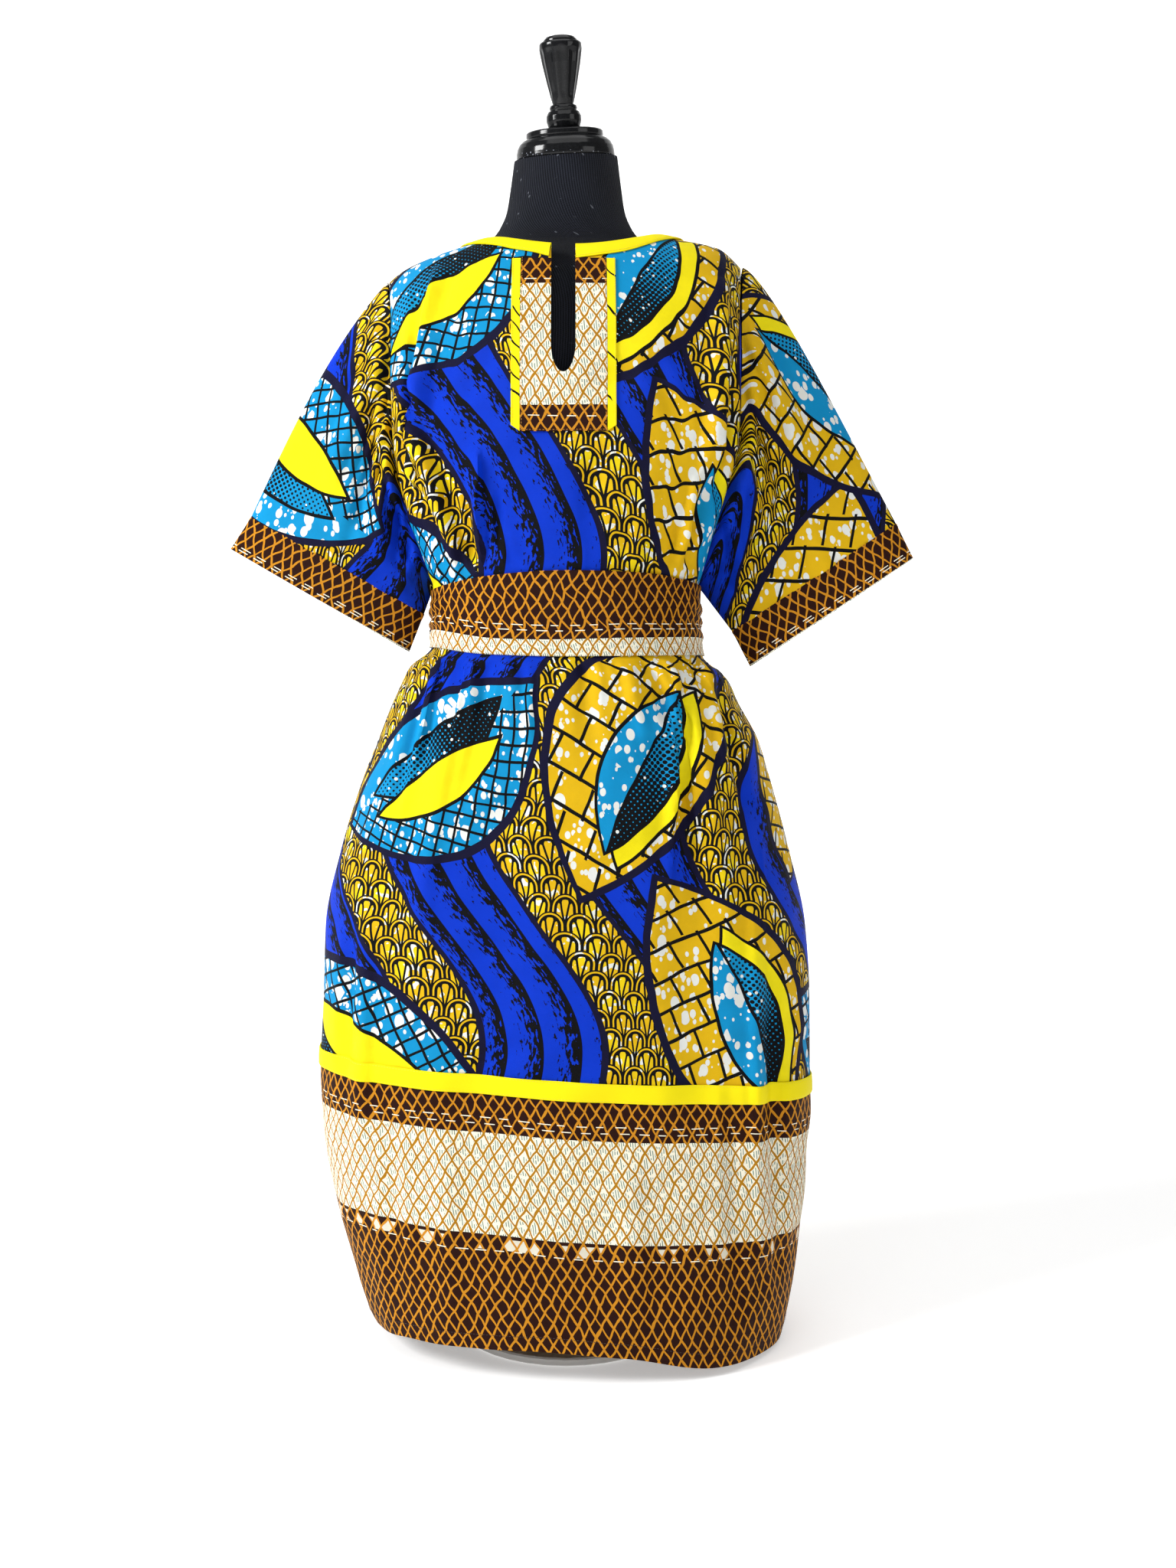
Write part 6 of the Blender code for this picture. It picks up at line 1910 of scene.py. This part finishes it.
def stitch_tree():
    """Geometry nodes that lay a row of stitches along a line."""
    tree = bpy.data.node_groups.new("stitch_row", "GeometryNodeTree")
    for name, kind in (("Geometry", "Geometry"), ("Pitch", "Float"), ("Radius", "Float"),
                       ("Sides", "Int"), ("Thread", "Material")):
        tree.interface.new_socket(name, in_out="INPUT", socket_type="NodeSocket" + kind)
    tree.interface.new_socket("Geometry", in_out="OUTPUT", socket_type="NodeSocketGeometry")

    def made(kind, out, sockets, **settings):
        """Add a node and give one of its outputs."""
        return add_node(tree, kind, settings, sockets).outputs[out]

    given = add_node(tree, "NodeGroupInput", {}, {}).outputs
    line = made("GeometryNodeMeshToCurve", "Curve", {"Mesh": given["Geometry"]})
    sockets = {"Curve": line, "Length": given["Pitch"]}
    even = made("GeometryNodeResampleCurve", "Curve", sockets, mode="LENGTH")
    tangent = made("GeometryNodeInputTangent", "Tangent", {})
    turn = made("FunctionNodeAlignRotationToVector", "Rotation", {"Vector": tangent}, axis="Z")
    sockets = {"Segments": given["Sides"], "Rings": 4, "Radius": 1.0}
    stitch = made("GeometryNodeMeshUVSphere", "Mesh", sockets)
    sockets = {0: given["Pitch"], 1: STITCH_FILL}
    reach = made("ShaderNodeMath", "Value", sockets, operation="MULTIPLY")
    sockets = {"X": given["Radius"], "Y": given["Radius"], "Z": reach}
    size = made("ShaderNodeCombineXYZ", "Vector", sockets)
    sockets = {"Points": even, "Instance": stitch, "Rotation": turn, "Scale": size}
    row = made("GeometryNodeInstanceOnPoints", "Instances", sockets)
    real = made("GeometryNodeRealizeInstances", "Geometry", {"Geometry": row})
    smooth = made("GeometryNodeSetShadeSmooth", "Geometry", {"Geometry": real})
    sockets = {"Geometry": smooth, "Material": given["Thread"]}
    sewn = made("GeometryNodeSetMaterial", "Geometry", sockets)
    add_node(tree, "NodeGroupOutput", {}, {"Geometry": sewn})
    return tree


class DRESS_OT_stitches(bpy.types.Operator):
    """Sew the stitch lines of the trims"""
    bl_idname = "shift_dress.stitches"
    bl_label = "Stitches"

    def execute(self, context):
        sizes = context.scene.shift_dress_sizes
        tree = stitch_tree()
        sockets = {item.name: item.identifier for item in tree.interface.items_tree
                   if item.in_out == "INPUT"}
        given = {"Pitch": sizes.stitch_pitch, "Radius": sizes.stitch_radius,
                 "Sides": sizes.thread_sides}
        for name, slot in THREADS.items():
            points, edges = [], []
            for kind, line in Dress.seams:
                if kind == name:
                    first = len(points)
                    points.extend(line.tolist())
                    edges.extend((i, i + 1) for i in range(first, len(points) - 1))
            mesh = bpy.data.meshes.new("stitches_" + name)
            mesh.from_pydata(points, edges, [])
            obj = add_object("stitches_" + name, mesh)
            sewn = obj.modifiers.new("stitches", "NODES")
            sewn.node_group = tree
            given["Thread"] = thread_material("thread_" + name, getattr(colours(), name))
            for socket, value in given.items():
                sewn[sockets[socket]] = value
            applied(obj)
            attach(obj, "root")
        return {"FINISHED"}


def area_light(name, place, aim, size, power):
    """A soft square light."""
    light = bpy.data.lights.new(name, "AREA")
    light.shape = "SQUARE"
    light.size = size
    light.energy = power
    obj = add_object(name, light)
    obj.location = place
    obj.rotation_euler = (Vector(aim) - Vector(place)).to_track_quat("-Z", "Y").to_euler()


class DRESS_OT_stage(bpy.types.Operator):
    """Add the floor, lights and camera"""
    bl_idname = "shift_dress.stage"
    bl_label = "Stage"

    def execute(self, context):
        stage = context.scene.shift_dress_stage
        scene = context.scene
        profile = [(-SWEEP_REACH, 0.0), (SWEEP_START, 0.0)]
        for turn in np.radians(range(6, 91, 6)):
            out, up = SWEEP_RADIUS * sin(turn), SWEEP_RADIUS * (1.0 - cos(turn))
            profile.append((SWEEP_START + out, up))
        profile.append((SWEEP_START + SWEEP_RADIUS, SWEEP_REACH))
        grid = np.array([[(x, y, z) for x in (-SWEEP_REACH, SWEEP_REACH)] for y, z in profile])
        mesh = make_mesh("floor", grid, grid[..., :2])
        graph = Graph("floor")
        grain = graph.noise(graph.object_place(), 30.0, 3.0)
        pale = graph.blend(grain * 0.05, colours().floor, darker(colours().floor, 0.95))
        # The floor glows with painted light of its own, which lightens the shadows cast on it.
        mesh.materials.append(graph.finish(pale, 0.7, grain, 0.0001, Specular_IOR_Level=0.1,
                                           Emission_Strength=stage.glow))
        add_object("floor", mesh)
        scene.world = bpy.data.worlds.new("room")
        scene.world.use_nodes = True
        background = scene.world.node_tree.nodes["Background"]
        background.inputs["Color"].default_value = (1.0, 1.0, 1.0, 1.0)
        background.inputs["Strength"].default_value = stage.world
        for light in LIGHTS:
            area_light(*light, getattr(stage, light.name))
        camera = bpy.data.cameras.new("camera")
        for name in ("lens", "shift_x", "shift_y"):
            setattr(camera, name, getattr(stage, name))
        scene.camera = add_object("camera", camera)
        scene.camera.location = (0.0, -stage.distance, stage.height)
        scene.camera.rotation_euler = (radians(90.0), 0.0, 0.0)
        scene.view_settings.view_transform = "Standard"
        return {"FINISHED"}


OPERATORS = (DRESS_OT_stage, DRESS_OT_panels, DRESS_OT_sleeves, DRESS_OT_border, DRESS_OT_neck,
             DRESS_OT_sash, DRESS_OT_form, DRESS_OT_stitches)


class DRESS_PT_sidebar(bpy.types.Panel):
    """The dress's pieces and settings"""
    bl_idname = "DRESS_PT_sidebar"
    bl_label = "Shift Dress"
    bl_space_type = "VIEW_3D"
    bl_region_type = "UI"
    bl_category = "Shift Dress"

    def draw(self, context):
        for operator in OPERATORS:
            self.layout.operator(operator.bl_idname)
        for group in GROUPS:
            box = self.layout.box()
            settings = getattr(context.scene, group)
            for name in settings.__annotations__:
                box.prop(settings, name)


GROUPS = {"shift_dress_sizes": DressSizes, "shift_dress_colours": DressColours,
          "shift_dress_stage": DressStage}
CLASSES = (*GROUPS.values(), *OPERATORS, DRESS_PT_sidebar)


def register():
    """Make the classes known to Blender."""
    for cls in CLASSES:
        bpy.utils.register_class(cls)
    for name, group in GROUPS.items():
        setattr(bpy.types.Scene, name, PointerProperty(type=group))


def unregister():
    """Take the classes out again."""
    for name in GROUPS:
        delattr(bpy.types.Scene, name)
    for cls in reversed(CLASSES):
        bpy.utils.unregister_class(cls)


def main():
    """Build the looks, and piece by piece."""
    register()
    for operator in OPERATORS:
        group, name = operator.bl_idname.split(".")
        getattr(getattr(bpy.ops, group), name)()


if __name__ == "__main__":
    main()
